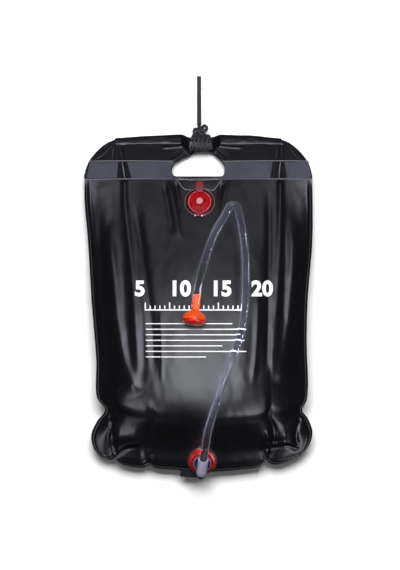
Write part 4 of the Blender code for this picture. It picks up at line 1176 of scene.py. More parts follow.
HOSE_ROUTE = (
    (0.0117, -0.2486, 0.0822), (0.0134, -0.2375, 0.0879), (0.0153, -0.2245, 0.0957),
    (0.0177, -0.2120, 0.1052), (0.0219, -0.1971, 0.1165), (0.0273, -0.1790, 0.1234),
    (0.0331, -0.1616, 0.1262), (0.0405, -0.1360, 0.1267), (0.0494, -0.1118, 0.1252),
    (0.0566, -0.0950, 0.1229), (0.0646, -0.0750, 0.1198), (0.0712, -0.0550, 0.1159),
    (0.0762, -0.0330, 0.1118), (0.0800, -0.0074, 0.1060), (0.0818, 0.0200, 0.0999),
    (0.0826, 0.0470, 0.0929), (0.0826, 0.0740, 0.0848), (0.0811, 0.1000, 0.0768), (0.0780, 0.1240, 0.0695),
    (0.0750, 0.1430, 0.0635), (0.0720, 0.1570, 0.0591), (0.0697, 0.1688, 0.0556), (0.0671, 0.1754, 0.0538),
    (0.0610, 0.1781, 0.0532), (0.0549, 0.1754, 0.0540), (0.0523, 0.1688, 0.0562), (0.0450, 0.1562, 0.0604),
    (0.0351, 0.1395, 0.0663), (0.0230, 0.1144, 0.0760), (0.0150, 0.0900, 0.0866), (0.0085, 0.0690, 0.0990),
    (0.0040, 0.0520, 0.1110), (0.0006, 0.0385, 0.1182), (-0.0012, 0.0310, 0.1201),
    (-0.0022, 0.0216, 0.1214),
)


@dataclass
class BagSkin:
    """The filled chamber: front and back sheets welded round their edge, with the folds of the filling."""

    columns: int = 190
    rows: int = 230
    weld_columns: int = 4
    weld_rows: int = 4
    bead_height: float = 0.0007
    bead_width: float = 0.0016
    line_inset: float = 0.0042
    line_radius: float = 0.0007
    flange_hang: float = 0.0050
    hose_radius: float = 0.00675
    clearance: float = 0.0003
    wrinkle: float = 0.0011
    wrinkle_scale: tuple = (34, 13, 0.7)
    fine_wrinkle: float = 0.0003
    fine_scale: tuple = (90, 45, 3.1)

    def column_places(self) -> np.ndarray:
        """Places across: even steps over each weld, and closer ones towards it.

        Returns:
            The shares across, -1 to 1.
        """
        inner = 1 - FORM.weld / FORM.half
        swing = np.linspace(-1, 1, self.columns - 2 * self.weld_columns + 1)
        middle = inner * (0.45 * np.sin(np.pi / 2 * swing) + 0.55 * swing)
        edge = np.linspace(inner, 1, self.weld_columns + 1)[1:]
        return np.concatenate([-edge[::-1], middle, edge])

    def row_places(self) -> np.ndarray:
        """Places down the chamber, with even steps over each end weld.

        Returns:
            The shares along, 0 to 1.
        """
        weld = FORM.weld / FORM.chamber
        middle = np.linspace(weld, 1 - weld, self.rows - 2 * self.weld_rows + 1)
        edge = np.linspace(0, weld, self.weld_rows + 1)[:-1]
        return np.concatenate([edge, middle, 1 - edge[::-1]])

    def inside(self, u: np.ndarray, v: np.ndarray) -> np.ndarray:
        """0 on the weld, rising to 1 a little way in.

        Args:
            u: shares across the sheet, -1 to 1.
            v: shares along it, 0 to 1.

        Returns:
            The factors.
        """
        across = smoothstep(0.0, 0.10, (1 - FORM.weld / FORM.half) - np.abs(u))
        weld = FORM.weld / FORM.chamber
        down = smoothstep(0.0, 0.030, np.minimum(v - weld / 4, 1 - weld - v))
        return across * down

    def bead(self, u: np.ndarray, v: np.ndarray) -> np.ndarray:
        """The thin raised line along the weld's inner edge.

        Args:
            u: shares across the sheet, -1 to 1.
            v: shares along it, 0 to 1.

        Returns:
            How much it lifts.
        """
        from_side = (np.abs(u) - (1 - FORM.weld / FORM.half)) * FORM.half
        from_end = (v - (1 - FORM.weld / FORM.chamber)) * FORM.chamber
        side = np.exp(-((from_side / self.bead_width) ** 2))
        end = np.exp(-((from_end / self.bead_width) ** 2))
        return self.bead_height * np.maximum(side, end)

    def seated(self, x: np.ndarray, y: np.ndarray, z: np.ndarray, inside: np.ndarray) -> np.ndarray:
        """Heights with the sheet flat under the two fittings.

        Args:
            x: places across, in metres.
            y: places along.
            z: heights before.
            inside: how far each place is inside the weld, 0 to 1.

        Returns:
            The new heights.
        """
        for seat in (FILLER_SEAT, OUTLET_SEAT):
            place = seat.place
            normal = place.to_3x3() @ Vector((0, 0, 1))
            spot = place.translation
            plane = spot.z - (self.clearance + normal.x * (x - spot.x) + normal.y * (y - spot.y)) / normal.z
            away = np.hypot(x - spot.x, (y - spot.y) / normal.z)
            hold = (1 - smoothstep(seat.flat_radius, seat.fade_radius, away)) * inside
            z = z + (plane - z) * hold
            z = np.where(away < seat.flat_radius, np.minimum(z, plane), z)
        return z

    def pressed(self, x: np.ndarray, y: np.ndarray, z: np.ndarray) -> np.ndarray:
        """Heights with the sheet just clear of the hose that lies on it.

        Args:
            x: places across, in metres.
            y: places along.
            z: heights before.

        Returns:
            The new heights.
        """
        line = even_line(smooth_line(HOSE_ROUTE, 4), 0.003)
        reach = self.hose_radius + self.clearance
        for spot in line:
            away = np.hypot(x - spot[0], y - spot[1])
            near = away < reach * 0.98
            under = spot[2] - np.sqrt(np.maximum(reach**2 - away**2, 0))
            z = np.where(near, np.minimum(z, under), z)
        return z

    def heights(self) -> tuple[np.ndarray, np.ndarray]:
        """The front and the back sheet as tables of points by column and row.

        Returns:
            The front table and the back one.
        """
        u, v = np.meshgrid(self.column_places(), self.row_places(), indexing="ij")
        plan = PUCKERED.plan(u, v)
        x, y = plan[..., 0], plan[..., 1]
        inside = self.inside(u, v)
        folds = all_lifts(BELLY_FOLDS, x, y)
        off_side = smoothstep(0.0, 0.03, 1 - FORM.weld / FORM.half - np.abs(u))
        near_edge = off_side * smoothstep(0.0, 0.008, v)
        front = FORM.front(u, v) + folds * near_edge
        front = front + self.wrinkles(x, y) * inside + self.bead(u, v)
        front = self.pressed(x, y, self.seated(x, y, front, inside))
        back = FORM.back(u, v)
        front = np.maximum(front, back + 2 * FORM.sheet)
        past_side = (np.abs(u) - 1) * FORM.half / FORM.weld + 1
        past_end = (v - 1) * FORM.chamber / FORM.weld + 1
        hang = self.flange_hang * np.clip(np.maximum(past_side, past_end), 0, 1) * smoothstep(0.0, 0.05, v)
        front, back = front - hang, back - hang
        return np.dstack([x, y, front]), np.dstack([x, y, back])

    def wrinkles(self, x: np.ndarray, y: np.ndarray) -> np.ndarray:
        """Slow unevenness of the filled vinyl.

        Args:
            x: places across, in metres.
            y: places along.

        Returns:
            How much it lifts.
        """
        across, along, depth = self.wrinkle_scale
        fine_across, fine_along, fine_depth = self.fine_scale
        values = np.zeros(x.shape)
        for i in range(x.shape[0]):
            for j in range(x.shape[1]):
                spot = Vector((x[i, j] * across, y[i, j] * along, depth))
                fine = Vector((x[i, j] * fine_across, y[i, j] * fine_along, fine_depth))
                values[i, j] = self.wrinkle * noise.noise(spot) + self.fine_wrinkle * noise.noise(fine)
        return values

    def pockets(self, bm: bmesh.types.BMesh, front: set) -> None:
        """Sink a round pocket under each fitting.

        Args:
            bm: the skin.
            front: the front sheet's faces.
        """
        for seat in (FILLER_SEAT, OUTLET_SEAT):
            place = seat.place
            back_to_seat = place.inverted()
            chosen = []
            for face in front:
                spot = back_to_seat @ face.calc_center_median()
                if math.hypot(spot.x, spot.y) < seat.pocket_radius:
                    chosen.append(face)
            inside = set(chosen)
            front -= inside
            rim = {v for f in chosen for v in f.verts if any(g not in inside for g in v.link_faces)}
            for vert in rim:
                spot = back_to_seat @ vert.co
                scale = seat.pocket_radius / math.hypot(spot.x, spot.y)
                vert.co = place @ Vector((spot.x * scale, spot.y * scale, spot.z))
            made = bmesh.ops.extrude_face_region(bm, geom=chosen)["geom"]
            down = place.to_3x3() @ Vector((0, 0, -seat.pocket_depth))
            sunk = [item for item in made if isinstance(item, bmesh.types.BMVert)]
            bmesh.ops.translate(bm, vec=down, verts=sunk)

    def grid_index(self, co: Vector) -> tuple[int, int]:
        """Column and row of a vertex of the grid that the skin starts from."""
        return round((co.x + 1) / 2 * self.columns), round((1 - co.y) / 2 * self.rows)

    def build(self) -> bpy.types.Object:
        """The skin as one closed piece.

        Returns:
            The skin.
        """
        front, back = self.heights()
        bm = bmesh.new()
        bmesh.ops.create_grid(bm, x_segments=self.columns, y_segments=self.rows, size=1)
        under = {vert: self.grid_index(vert.co) for vert in bm.verts}
        made = bmesh.ops.extrude_face_region(bm, geom=bm.faces[:])["geom"]
        over = {item: self.grid_index(item.co) for item in made if isinstance(item, bmesh.types.BMVert)}
        for verts, table in ((under, back), (over, front)):
            for vert, (i, j) in verts.items():
                vert.co = table[i, j]
        top_faces = {item for item in made if isinstance(item, bmesh.types.BMFace)}
        self.pockets(bm, top_faces)
        skin = Piece("bag_skin", Finishes.VINYL, replaces=("front_panel", "back_panel"), sharp=60).publish(bm)
        self.build_beads(skin)
        return skin

    def build_beads(self, skin: bpy.types.Object) -> None:
        """The painted highlight line round the weld flange, and the raised lines beside the filler, which are
        painted light as highlights too.

        Args:
            skin: the skin that they lie on.
        """
        height = height_on(BVHTree.FromObject(skin, bpy.context.evaluated_depsgraph_get()))
        side = 1 - self.line_inset / FORM.half
        low = 1 - self.line_inset / FORM.chamber
        side_points, end_points = 120, 160
        down = np.linspace(0.004, low, side_points)
        across = np.linspace(-side, side, end_points)[1:-1]
        u = np.concatenate([np.full(side_points, -side), across, np.full(side_points, side)])
        v = np.concatenate([down, np.full(end_points - 2, low), down[::-1]])
        line = even_line(PUCKERED.plan(u, v), 0.0015)
        path = np.column_stack([line, height(line[:, 0], line[:, 1]) + 0.0002])
        # Painted highlight: a light line along the weld flange.
        Piece("flange_line", Finishes.CREASE_HIGHLIGHT).publish(swept(path, self.line_radius, 8, up=Vector((0, 0, 1))))
        for bead in SKIN_BEADS:
            bead.build(height)


def header_outline() -> np.ndarray:
    """Outline of the header sheet, from its right foot over the top to its left foot.

    Returns:
        The outline's points.
    """
    corner = (
        (0.994, 0.0), (0.996, 0.05), (0.980, 0.24), (0.952, 0.42), (0.900, 0.60), (0.840, 0.75),
        (0.790, 0.84), (0.728, 0.905),
    )
    right = smooth_line([(x * FORM.half, FORM.top + FORM.gap + y * FORM.header) for x, y in corner], 5)
    root = FORM.top + FORM.hem_root_share * FORM.header + 0.004
    inner = np.array([(0.728 * FORM.half, root)])
    half = np.vstack([right, inner])
    left = half[::-1] * np.array([-1, 1])
    return np.vstack([half, left])


HOLE_SHARES = (
    (-0.808, 0.0), (-0.93, 0.045), (-1.0, 0.22), (-0.985, 0.40), (-0.90, 0.54), (-0.676, 0.70),
    (-0.35, 0.84), (-0.15, 0.97), (0.0, 1.0), (0.40, 1.0), (0.55, 0.93), (0.70, 0.80), (0.92, 0.58),
    (0.99, 0.42), (1.0, 0.22), (0.95, 0.045), (0.84, 0.0),
)


# Lines over the header, each lighter than the vinyl: painted highlights along the weld lines, the hem's root
# and the creases.
HEADER_BEADS = (
    Bead("weld_line_upper_left", ((88.5, 160.5), (120, 160.3), (150, 160.4), (173, 160.6)), 0.8),
    Bead("weld_line_upper_right", ((223, 160.6), (250, 160.4), (282, 160.2), (310, 160.5)), 0.8),
    Bead(
        "weld_line_lower",
        ((85, 179.2), (120, 178.6), (173, 178.9), (198, 180.0), (223, 178.9), (280, 178.6), (312, 178.8)),
        0.8,
    ),
    Bead("hem_line_left", ((115.5, 143.4), (140, 143.2), (165, 143.0), (186, 142.8)), 1.3),
    Bead("hem_line_right", ((214, 142.8), (240, 143.0), (262, 143.2), (283, 143.4)), 1.3),
    Bead("band_crease_left", ((121.5, 160), (122.8, 168), (124.4, 178)), 0.9, tapered=True),
    Bead("band_crease_right", ((281.0, 160), (280.0, 168), (279.2, 178)), 0.9, tapered=True),
    crease("strip_crease_left", ((119.2, 147), (120.5, 153), (121.8, 159)), 0.8),
    crease("strip_crease_far_left", ((113.5, 145), (112.2, 152), (112.0, 158)), 0.8),
    crease("strip_crease_right", ((281.6, 145), (282.0, 152), (282.6, 158)), 0.7),
    crease("strip_crease_inner_right", ((277.5, 148), (276.8, 153), (276.2, 158)), 0.9),
    crease("corner_crease_left", ((112.2, 144.0), (106.5, 150.0), (101.0, 155.5), (95.0, 158.5)), 1.1),
    crease("corner_crease_upper", ((108.5, 141.5), (105.5, 144.5), (103.5, 147.0)), 0.8),
    crease("corner_crease_right", ((290.0, 147.0), (294.0, 152.5), (299.0, 158.0)), 0.7),
    crease("gather_left_1", ((191.0, 142.5), (184.0, 148.0), (174.5, 155.5)), 0.6),
    crease("gather_left_2", ((192.5, 145.5), (186.5, 149.5), (178.5, 155.5)), 0.6),
    crease("gather_left_3", ((188.0, 142.5), (181.0, 147.5), (172.0, 154.0)), 0.5),
    crease("gather_right_1", ((211.0, 142.5), (217.5, 148.0), (228.0, 156.0)), 0.6),
    crease("gather_right_2", ((209.5, 145.5), (216.0, 150.5), (223.5, 157.5)), 0.6),
    crease("gather_right_3", ((213.5, 142.5), (221.0, 148.0), (230.0, 154.5)), 0.5),
)
# Light lines where the weld dips round the filler: painted highlights.
SKIN_BEADS = (
    Bead(
        "dip_line_left", ((176.6, 179.6), (179.5, 183.0), (183.5, 188.2), (187.3, 189.8), (191.0, 188.9)),
        0.7,
    ),
    Bead(
        "dip_line_right",
        ((221.6, 179.6), (218.0, 184.5), (215.8, 187.5), (213.0, 190.0), (208.0, 189.2), (204.8, 188.4)),
        0.7,
    ),
)


@dataclass
class Header:
    """The welded sheets above the chamber: hand hole, satin band, weld lines and folded hem."""

    hole_width: float = 0.095
    hole_height: float = 0.046
    hole_to_weld: float = 0.0032
    band_thickness: float = 0.0008
    cell: float = 0.0026
    hem_width: float = 0.0165
    hem_thickness: float = 0.0070
    bundle_radius: float = 0.0058
    bundle_wide: float = 0.0098
    hoist: float = 0.0090
    gather_width: float = 0.072
    gather_offset: float = 0.0045
    hem_lean: float = 0.33
    bundle_share: float = 0.812
    rope_radius: float = 0.0028
    wound_half: float = 0.0188
    reach_share: float = 0.728
    arch_rises: Shares = (
        (-0.1456, -0.0042), (-0.100, -0.0010), (-0.058, 0.0010), (-0.026, 0.0028), (0.004, 0.0030),
        (0.036, 0.0026), (0.094, 0.0002), (0.1456, -0.0046),
    )
    patches: tuple = (
        ((89.0, 161.6), (117.6, 161.4), (116.6, 177.6), (86.0, 178.0)),
        ((126.6, 161.4), (176.0, 161.4), (184.0, 177.9), (131.4, 177.7)),
        ((220.0, 161.4), (273.0, 161.2), (270.2, 177.6), (214.0, 177.9)),
        ((284.6, 161.2), (309.2, 161.4), (311.4, 178.0), (287.6, 177.8)),
    )
    patch_cell: float = 0.0013
    pull_shape: float = 1.3
    pull_reach: tuple[float, float] = (0.016, 0.034)
    hem_stops: int = 161
    hem_sides: int = 40
    hem_floor: float = 0.0002
    pleat: float = 0.10
    ripple: float = 0.0006
    wave: float = 0.0009
    sway: float = 0.0008

    @cached_property
    def hem_arch(self) -> Callable[[np.ndarray], np.ndarray]:
        """How far the hem bows up the header at each place across."""
        return table_curve(self.arch_rises)

    def hole_outline(self, grow: float = 0.0) -> np.ndarray:
        """The hand hole's outline.

        Args:
            grow: how far outside the hole the line runs.

        Returns:
            The closed outline's points.
        """
        bottom = FORM.top + self.hole_to_weld
        spots = [(x * self.hole_width / 2, bottom + y * self.hole_height) for x, y in HOLE_SHARES]
        line = smooth_line(spots, 4)
        if grow:
            tangents = np.gradient(line, axis=0)
            tangents /= np.linalg.norm(tangents, axis=1)[:, None]
            line = line + np.stack([-tangents[:, 1], tangents[:, 0]], axis=1) * grow
        return line

    def rise(self, x: np.ndarray, y: np.ndarray) -> np.ndarray:
        """Height of the header's middle, with its creases and the lift towards the rope.

        Args:
            x: places across, in metres.
            y: places along.

        Returns:
            The heights.
        """
        base = FORM.header_height(y)
        bundle = self.bundle_centre()
        away = np.hypot(x - bundle.x, (y - bundle.y) * self.pull_shape)
        pull = (bundle.z - base) * (1 - smoothstep(*self.pull_reach, away))
        return base + np.maximum(pull, 0) + all_lifts(HEADER_FOLDS, x, y)

    def bundle_centre(self) -> Vector:
        """Middle of the gathered hem, lifted by the rope that passes under it."""
        lift = self.bundle_radius + 2 * self.rope_radius + 2 * FORM.gap + self.hoist
        return Vector((self.gather_offset, FORM.top + self.bundle_share * FORM.header, lift))

    def hem_section(self, x: float) -> tuple[Vector, float, float, float]:
        """The hem at a place across.

        Args:
            x: the place.

        Returns:
            Its middle, half width, half thickness and how far it is gathered.
        """
        away = (abs(x - self.gather_offset) - self.wound_half) / (self.gather_width / 2 - self.wound_half)
        gathered = (1 + math.cos(math.pi * min(1.0, max(0.0, away)))) / 2
        bundle = self.bundle_centre()
        flat_y = FORM.top + FORM.hem_root_share * FORM.header + self.hem_width / 2 + FORM.gap
        bow = float(self.hem_arch(np.array(x))) / 2
        flat = Vector((x, flat_y + bow, self.hem_thickness / 2))
        middle = flat.lerp(Vector((x, bundle.y, bundle.z)), gathered)
        flat_wide = self.hem_width / 2 + bow
        wide = flat_wide + (self.bundle_wide - flat_wide) * gathered
        thick = self.hem_thickness / 2 + (self.bundle_radius - self.hem_thickness / 2) * gathered
        return middle, wide, thick, gathered

    def lay(self, bm: bmesh.types.BMesh, offset: float) -> None:
        """Lay a flat shape on the header, an offset above its middle.

        Args:
            bm: the shape.
            offset: how far above.
        """
        spots = np.array([vert.co[:] for vert in bm.verts])
        heights = self.rise(spots[:, 0], spots[:, 1])
        for vert, height in zip(bm.verts, heights):
            vert.co.z += height + offset

    def build_sheet(self) -> None:
        """The header's two sheets, welded into one."""
        bm = cut_flat([header_outline(), self.hole_outline()], self.cell)
        self.lay(bm, -FORM.sheet)
        thicken(bm, 2 * FORM.sheet)
        Piece("header_sheet", Finishes.HEADER, replaces=("header_panel",), sharp=50).publish(bm)

    def build_band(self) -> None:
        """The satin patches between the two weld lines, parted where the header is creased."""
        hole = self.hole_outline(grow=-0.0004)
        whole = bmesh.new()
        for patch in self.patches:
            bm = cut_flat([np.array([from_photo(spot) for spot in reversed(patch)])], self.patch_cell)
            inside = [f for f in bm.faces if self.in_hole(f.calc_center_median(), hole)]
            bmesh.ops.delete(bm, geom=inside, context="FACES")
            self.lay(bm, FORM.sheet + FORM.gap)
            thicken(bm, self.band_thickness)
            absorb(whole, bm)
        Piece("satin_band", Finishes.BAND, replaces=("grip_band",), sharp=50).publish(whole)

    @staticmethod
    def in_hole(spot: Vector, outline: np.ndarray) -> bool:
        """Whether a place lies inside a closed outline.

        Args:
            spot: the place.
            outline: its corners in order.

        Returns:
            True inside.
        """
        x, y = spot.x, spot.y
        crossings = 0
        for (x0, y0), (x1, y1) in zip(outline, np.roll(outline, -1, axis=0)):
            if (y0 > y) != (y1 > y) and x < (x1 - x0) * (y - y0) / (y1 - y0) + x0:
                crossings += 1
        return crossings % 2 == 1

    def build_lines(self) -> None:
        """The raised weld lines across the header, painted light as highlights, and the hole's dark rim."""
        for bead in HEADER_BEADS:
            bead.build(lambda x, y: self.rise(x, y) + FORM.sheet + FORM.gap)
        rim = self.hole_outline(grow=-0.0002)
        closed = even_line(np.vstack([rim, rim[:1]]), 0.0018)
        path = np.column_stack([closed, self.rise(closed[:, 0], closed[:, 1])])
        bm = swept(path, 0.0016, 10, caps=False, up=Vector((0, 0, 1)))
        bmesh.ops.remove_doubles(bm, verts=bm.verts, dist=1e-5)
        Piece("hole_rim", Finishes.RIM).publish(bm)

    def build_hem(self) -> None:
        """The folded hem, flat at its ends and gathered into pleats under the rope."""
        reach = self.reach_share * FORM.half
        stops = np.linspace(-reach, reach, self.hem_stops)
        bm = bmesh.new()
        bmesh.ops.create_cone(
            bm, cap_ends=True, cap_tris=False, segments=self.hem_sides, radius1=1, radius2=1, depth=2
        )
        runs = [e for e in bm.edges if abs(e.verts[0].co.z - e.verts[1].co.z) > 1]
        bmesh.ops.subdivide_edges(bm, edges=runs, cuts=len(stops) - 2, use_grid_fill=True)
        for vert in bm.verts:
            x = float(stops[round((vert.co.z + 1) / 2 * (len(stops) - 1))])
            angle = math.atan2(vert.co.y, vert.co.x)
            middle, wide, thick, gathered = self.hem_section(x)
            pleat = 1 + self.pleat * gathered * math.cos(7 * angle + 9 * math.sin(2 * angle))
            power = 0.62 - 0.1 * gathered
            across = math.copysign(abs(math.cos(angle)) ** power, math.cos(angle))
            above = math.copysign(abs(math.sin(angle)) ** 0.9, math.sin(angle))
            ripple = self.ripple * noise.noise(Vector((x * 70, across * 2, 1.3))) * (1 - gathered)
            lift = self.wave * noise.noise(Vector((x * 28, 0.0, 4.1)))
            sway = self.sway * noise.noise(Vector((x * 22, 0.3, 0.2)))
            slope = self.hem_lean * wide * across * (above + 1) / 2 * (1 - gathered)
            height = middle.z + thick * above * pleat + ripple + lift * (above + 1) / 2 - slope
            vert.co = (x, middle.y + wide * across * pleat + sway, max(height, self.hem_floor))
        Piece("folded_hem", Finishes.HEADER, replaces=("top_hem",), sharp=50).publish(bm)

    def build(self) -> None:
        """Every piece of the header."""
        self.build_sheet()
        self.build_band()
        self.build_lines()
        self.build_hem()


@dataclass
class Filler:
    """The red filler: neck welded into the sheet, and its cap on a pin."""

    flange_radius: float = 0.0262
    flange: float = 0.0024
    rim_radius: float = 0.0228
    rim: float = 0.0040
    neck_radius: float = 0.0195
    bore: float = 0.0170
    depth: float = 0.0090
    cap_radius: float = 0.0206
    cap_height: float = 0.0070
    wall: float = 0.0018
    plug_depth: float = 0.0055
    plug_wall: float = 0.0022
    plug_taper: float = 0.0014
    button: float = 0.0095
    tab_width: float = 0.0144
    tab_reach: float = 0.0365
    tab_thickness: float = 0.0026
    pin_radius: float = 0.0012
    knuckle_radius: float = 0.0031
    hinge_width: float = 0.0200
    knuckle_length: float = 0.0040
    pin_gap: float = 0.0002
    barrel_offset: float = 0.0036
    strap_size: tuple[float, float] = (0.0100, 0.0050)
    strap_place: tuple[float, float] = (0.0042, 0.0014)
    edge_radius: float = 0.0005

    @property
    def hinge(self) -> Matrix:
        """The hinge's own frame, its axis along X."""
        y = -(self.flange_radius - self.knuckle_radius / 3)
        z = self.flange + FORM.gap + self.knuckle_radius
        return FILLER_SEAT.place @ Matrix.Translation((0, y, z))

    def build_neck(self) -> None:
        """Neck with its flange and raised rim, and the two outer knuckles."""
        rim_top = self.flange + self.rim
        inner = self.cap_radius + 2 * FORM.gap
        profile = [
            (inner, rim_top), (self.rim_radius, rim_top), (self.rim_radius + 0.0006, self.flange + 0.0006),
            (self.flange_radius - 0.0016, self.flange * 0.80),
            (self.flange_radius - 0.0004, self.flange * 1.02), (self.flange_radius, self.flange * 0.5),
            (self.flange_radius, 0), (self.neck_radius, 0), (self.neck_radius, -self.depth),
            (self.bore, -self.depth), (self.bore, self.flange), (inner, self.flange), (inner, rim_top),
        ]
        curved = rounded(profile, 0.0007)[:-1]
        neck = spun(curved, FILLER_SEAT.place, ring=True)
        Piece("filler_neck_ring", Finishes.NECK, replaces=("filler_neck",)).publish(neck)
        # Pale ring round the flange's rim: painted highlight.
        edge = ring_bead(self.flange_radius - self.edge_radius, self.flange, self.edge_radius)
        Piece("filler_flange_edge", Finishes.NECK_EDGE_HIGHLIGHT).publish(spun(edge, FILLER_SEAT.place, ring=True))
        across = Matrix.Rotation(math.pi / 2, 4, "Y")
        for side, name in ((-1, "knuckle_left"), (1, "knuckle_right")):
            middle = side * (self.hinge_width - self.knuckle_length) / 2
            place = self.hinge @ Matrix.Translation((middle, 0, 0)) @ across
            self.build_knuckle(name, place, "bag")

    def build_knuckle(self, name: str, place: Matrix, body: str) -> None:
        """A short rounded barrel round the pin.

        Args:
            name: the piece's name.
            place: its middle, with the pin along Z.
            body: what it moves with.
        """
        half = self.knuckle_length / 2
        inner = self.pin_radius + self.pin_gap
        outer = self.knuckle_radius
        profile = [(inner, half), (outer, half), (outer, -half), (inner, -half), (inner, half)]
        Piece(name, Finishes.KNUCKLE, body).publish(spun(rounded(profile, 0.0007)[:-1], place, 48, ring=True))

    def build_cap(self) -> None:
        """Cap with its button, groove, skirt and hollow plug, then its tab, strap and barrel."""
        under = self.flange + FORM.gap
        top = under + self.cap_height
        plug = self.bore - FORM.gap * 2
        profile = [
            (0, top + 0.0003), (self.button * 0.60, top + 0.0001),
            (self.button * 0.78, top - self.wall * 0.22), (self.button * 0.90, top - self.wall * 0.60),
            (self.button * 1.06, top - self.wall * 0.92), (self.button * 1.30, top - self.wall * 1.30),
            (self.cap_radius * 0.80, top - self.wall * 1.95),
            (self.cap_radius * 0.92, top - self.wall * 2.60),
            (self.cap_radius * 0.985, under + self.cap_height * 0.42),
            (self.cap_radius, under + self.cap_height * 0.2), (self.cap_radius, under), (plug, under),
            (plug - self.plug_taper, -self.plug_depth),
            (plug - self.plug_taper - self.plug_wall, -self.plug_depth),
            (plug - self.plug_taper - self.plug_wall, under + self.wall), (0, under + self.wall),
        ]
        cap = spun(rounded(profile, 0.0009), FILLER_SEAT.place)
        Piece("cap_shell", Finishes.FILLER, "cap", replaces=("filler_cap",)).publish(cap)
        # Painted shade: a darker red ring laid in the groove round the button.
        groove = ring_bead(self.button * 1.00, top - self.wall * 0.80, self.edge_radius)
        Piece("cap_groove", Finishes.PIN, "cap").publish(spun(groove, FILLER_SEAT.place, ring=True))
        self.build_tab()
        across = Matrix.Rotation(math.pi / 2, 4, "Y")
        for side, name in ((-1, "barrel_left"), (1, "barrel_right")):
            place = self.hinge @ Matrix.Translation((side * self.barrel_offset, 0, 0)) @ across
            self.build_knuckle(name, place, "cap")
        place = self.hinge @ Matrix.Translation((0, *self.strap_place))
        strap = rounded_block((*self.strap_size, self.wall), place, 0.0010, 0.0005)
        Piece("cap_strap", Finishes.PIN, "cap").publish(strap)

    def build_tab(self) -> None:
        """The soft pull tab at the cap's far side."""
        z = self.flange + self.rim + FORM.gap + self.tab_thickness / 2
        start = self.cap_radius * 0.80
        size = (self.tab_width, self.tab_reach - start, self.tab_thickness)
        place = FILLER_SEAT.place @ Matrix.Translation((0, (self.tab_reach + start) / 2, z))
        tab = rounded_block(size, place, 0.0042, 0.0008, 6)
        Piece("cap_tab", Finishes.CAP_TAB, "cap").publish(tab)

    def build(self) -> None:
        """Every piece of the filler."""
        self.build_neck()
        self.build_cap()


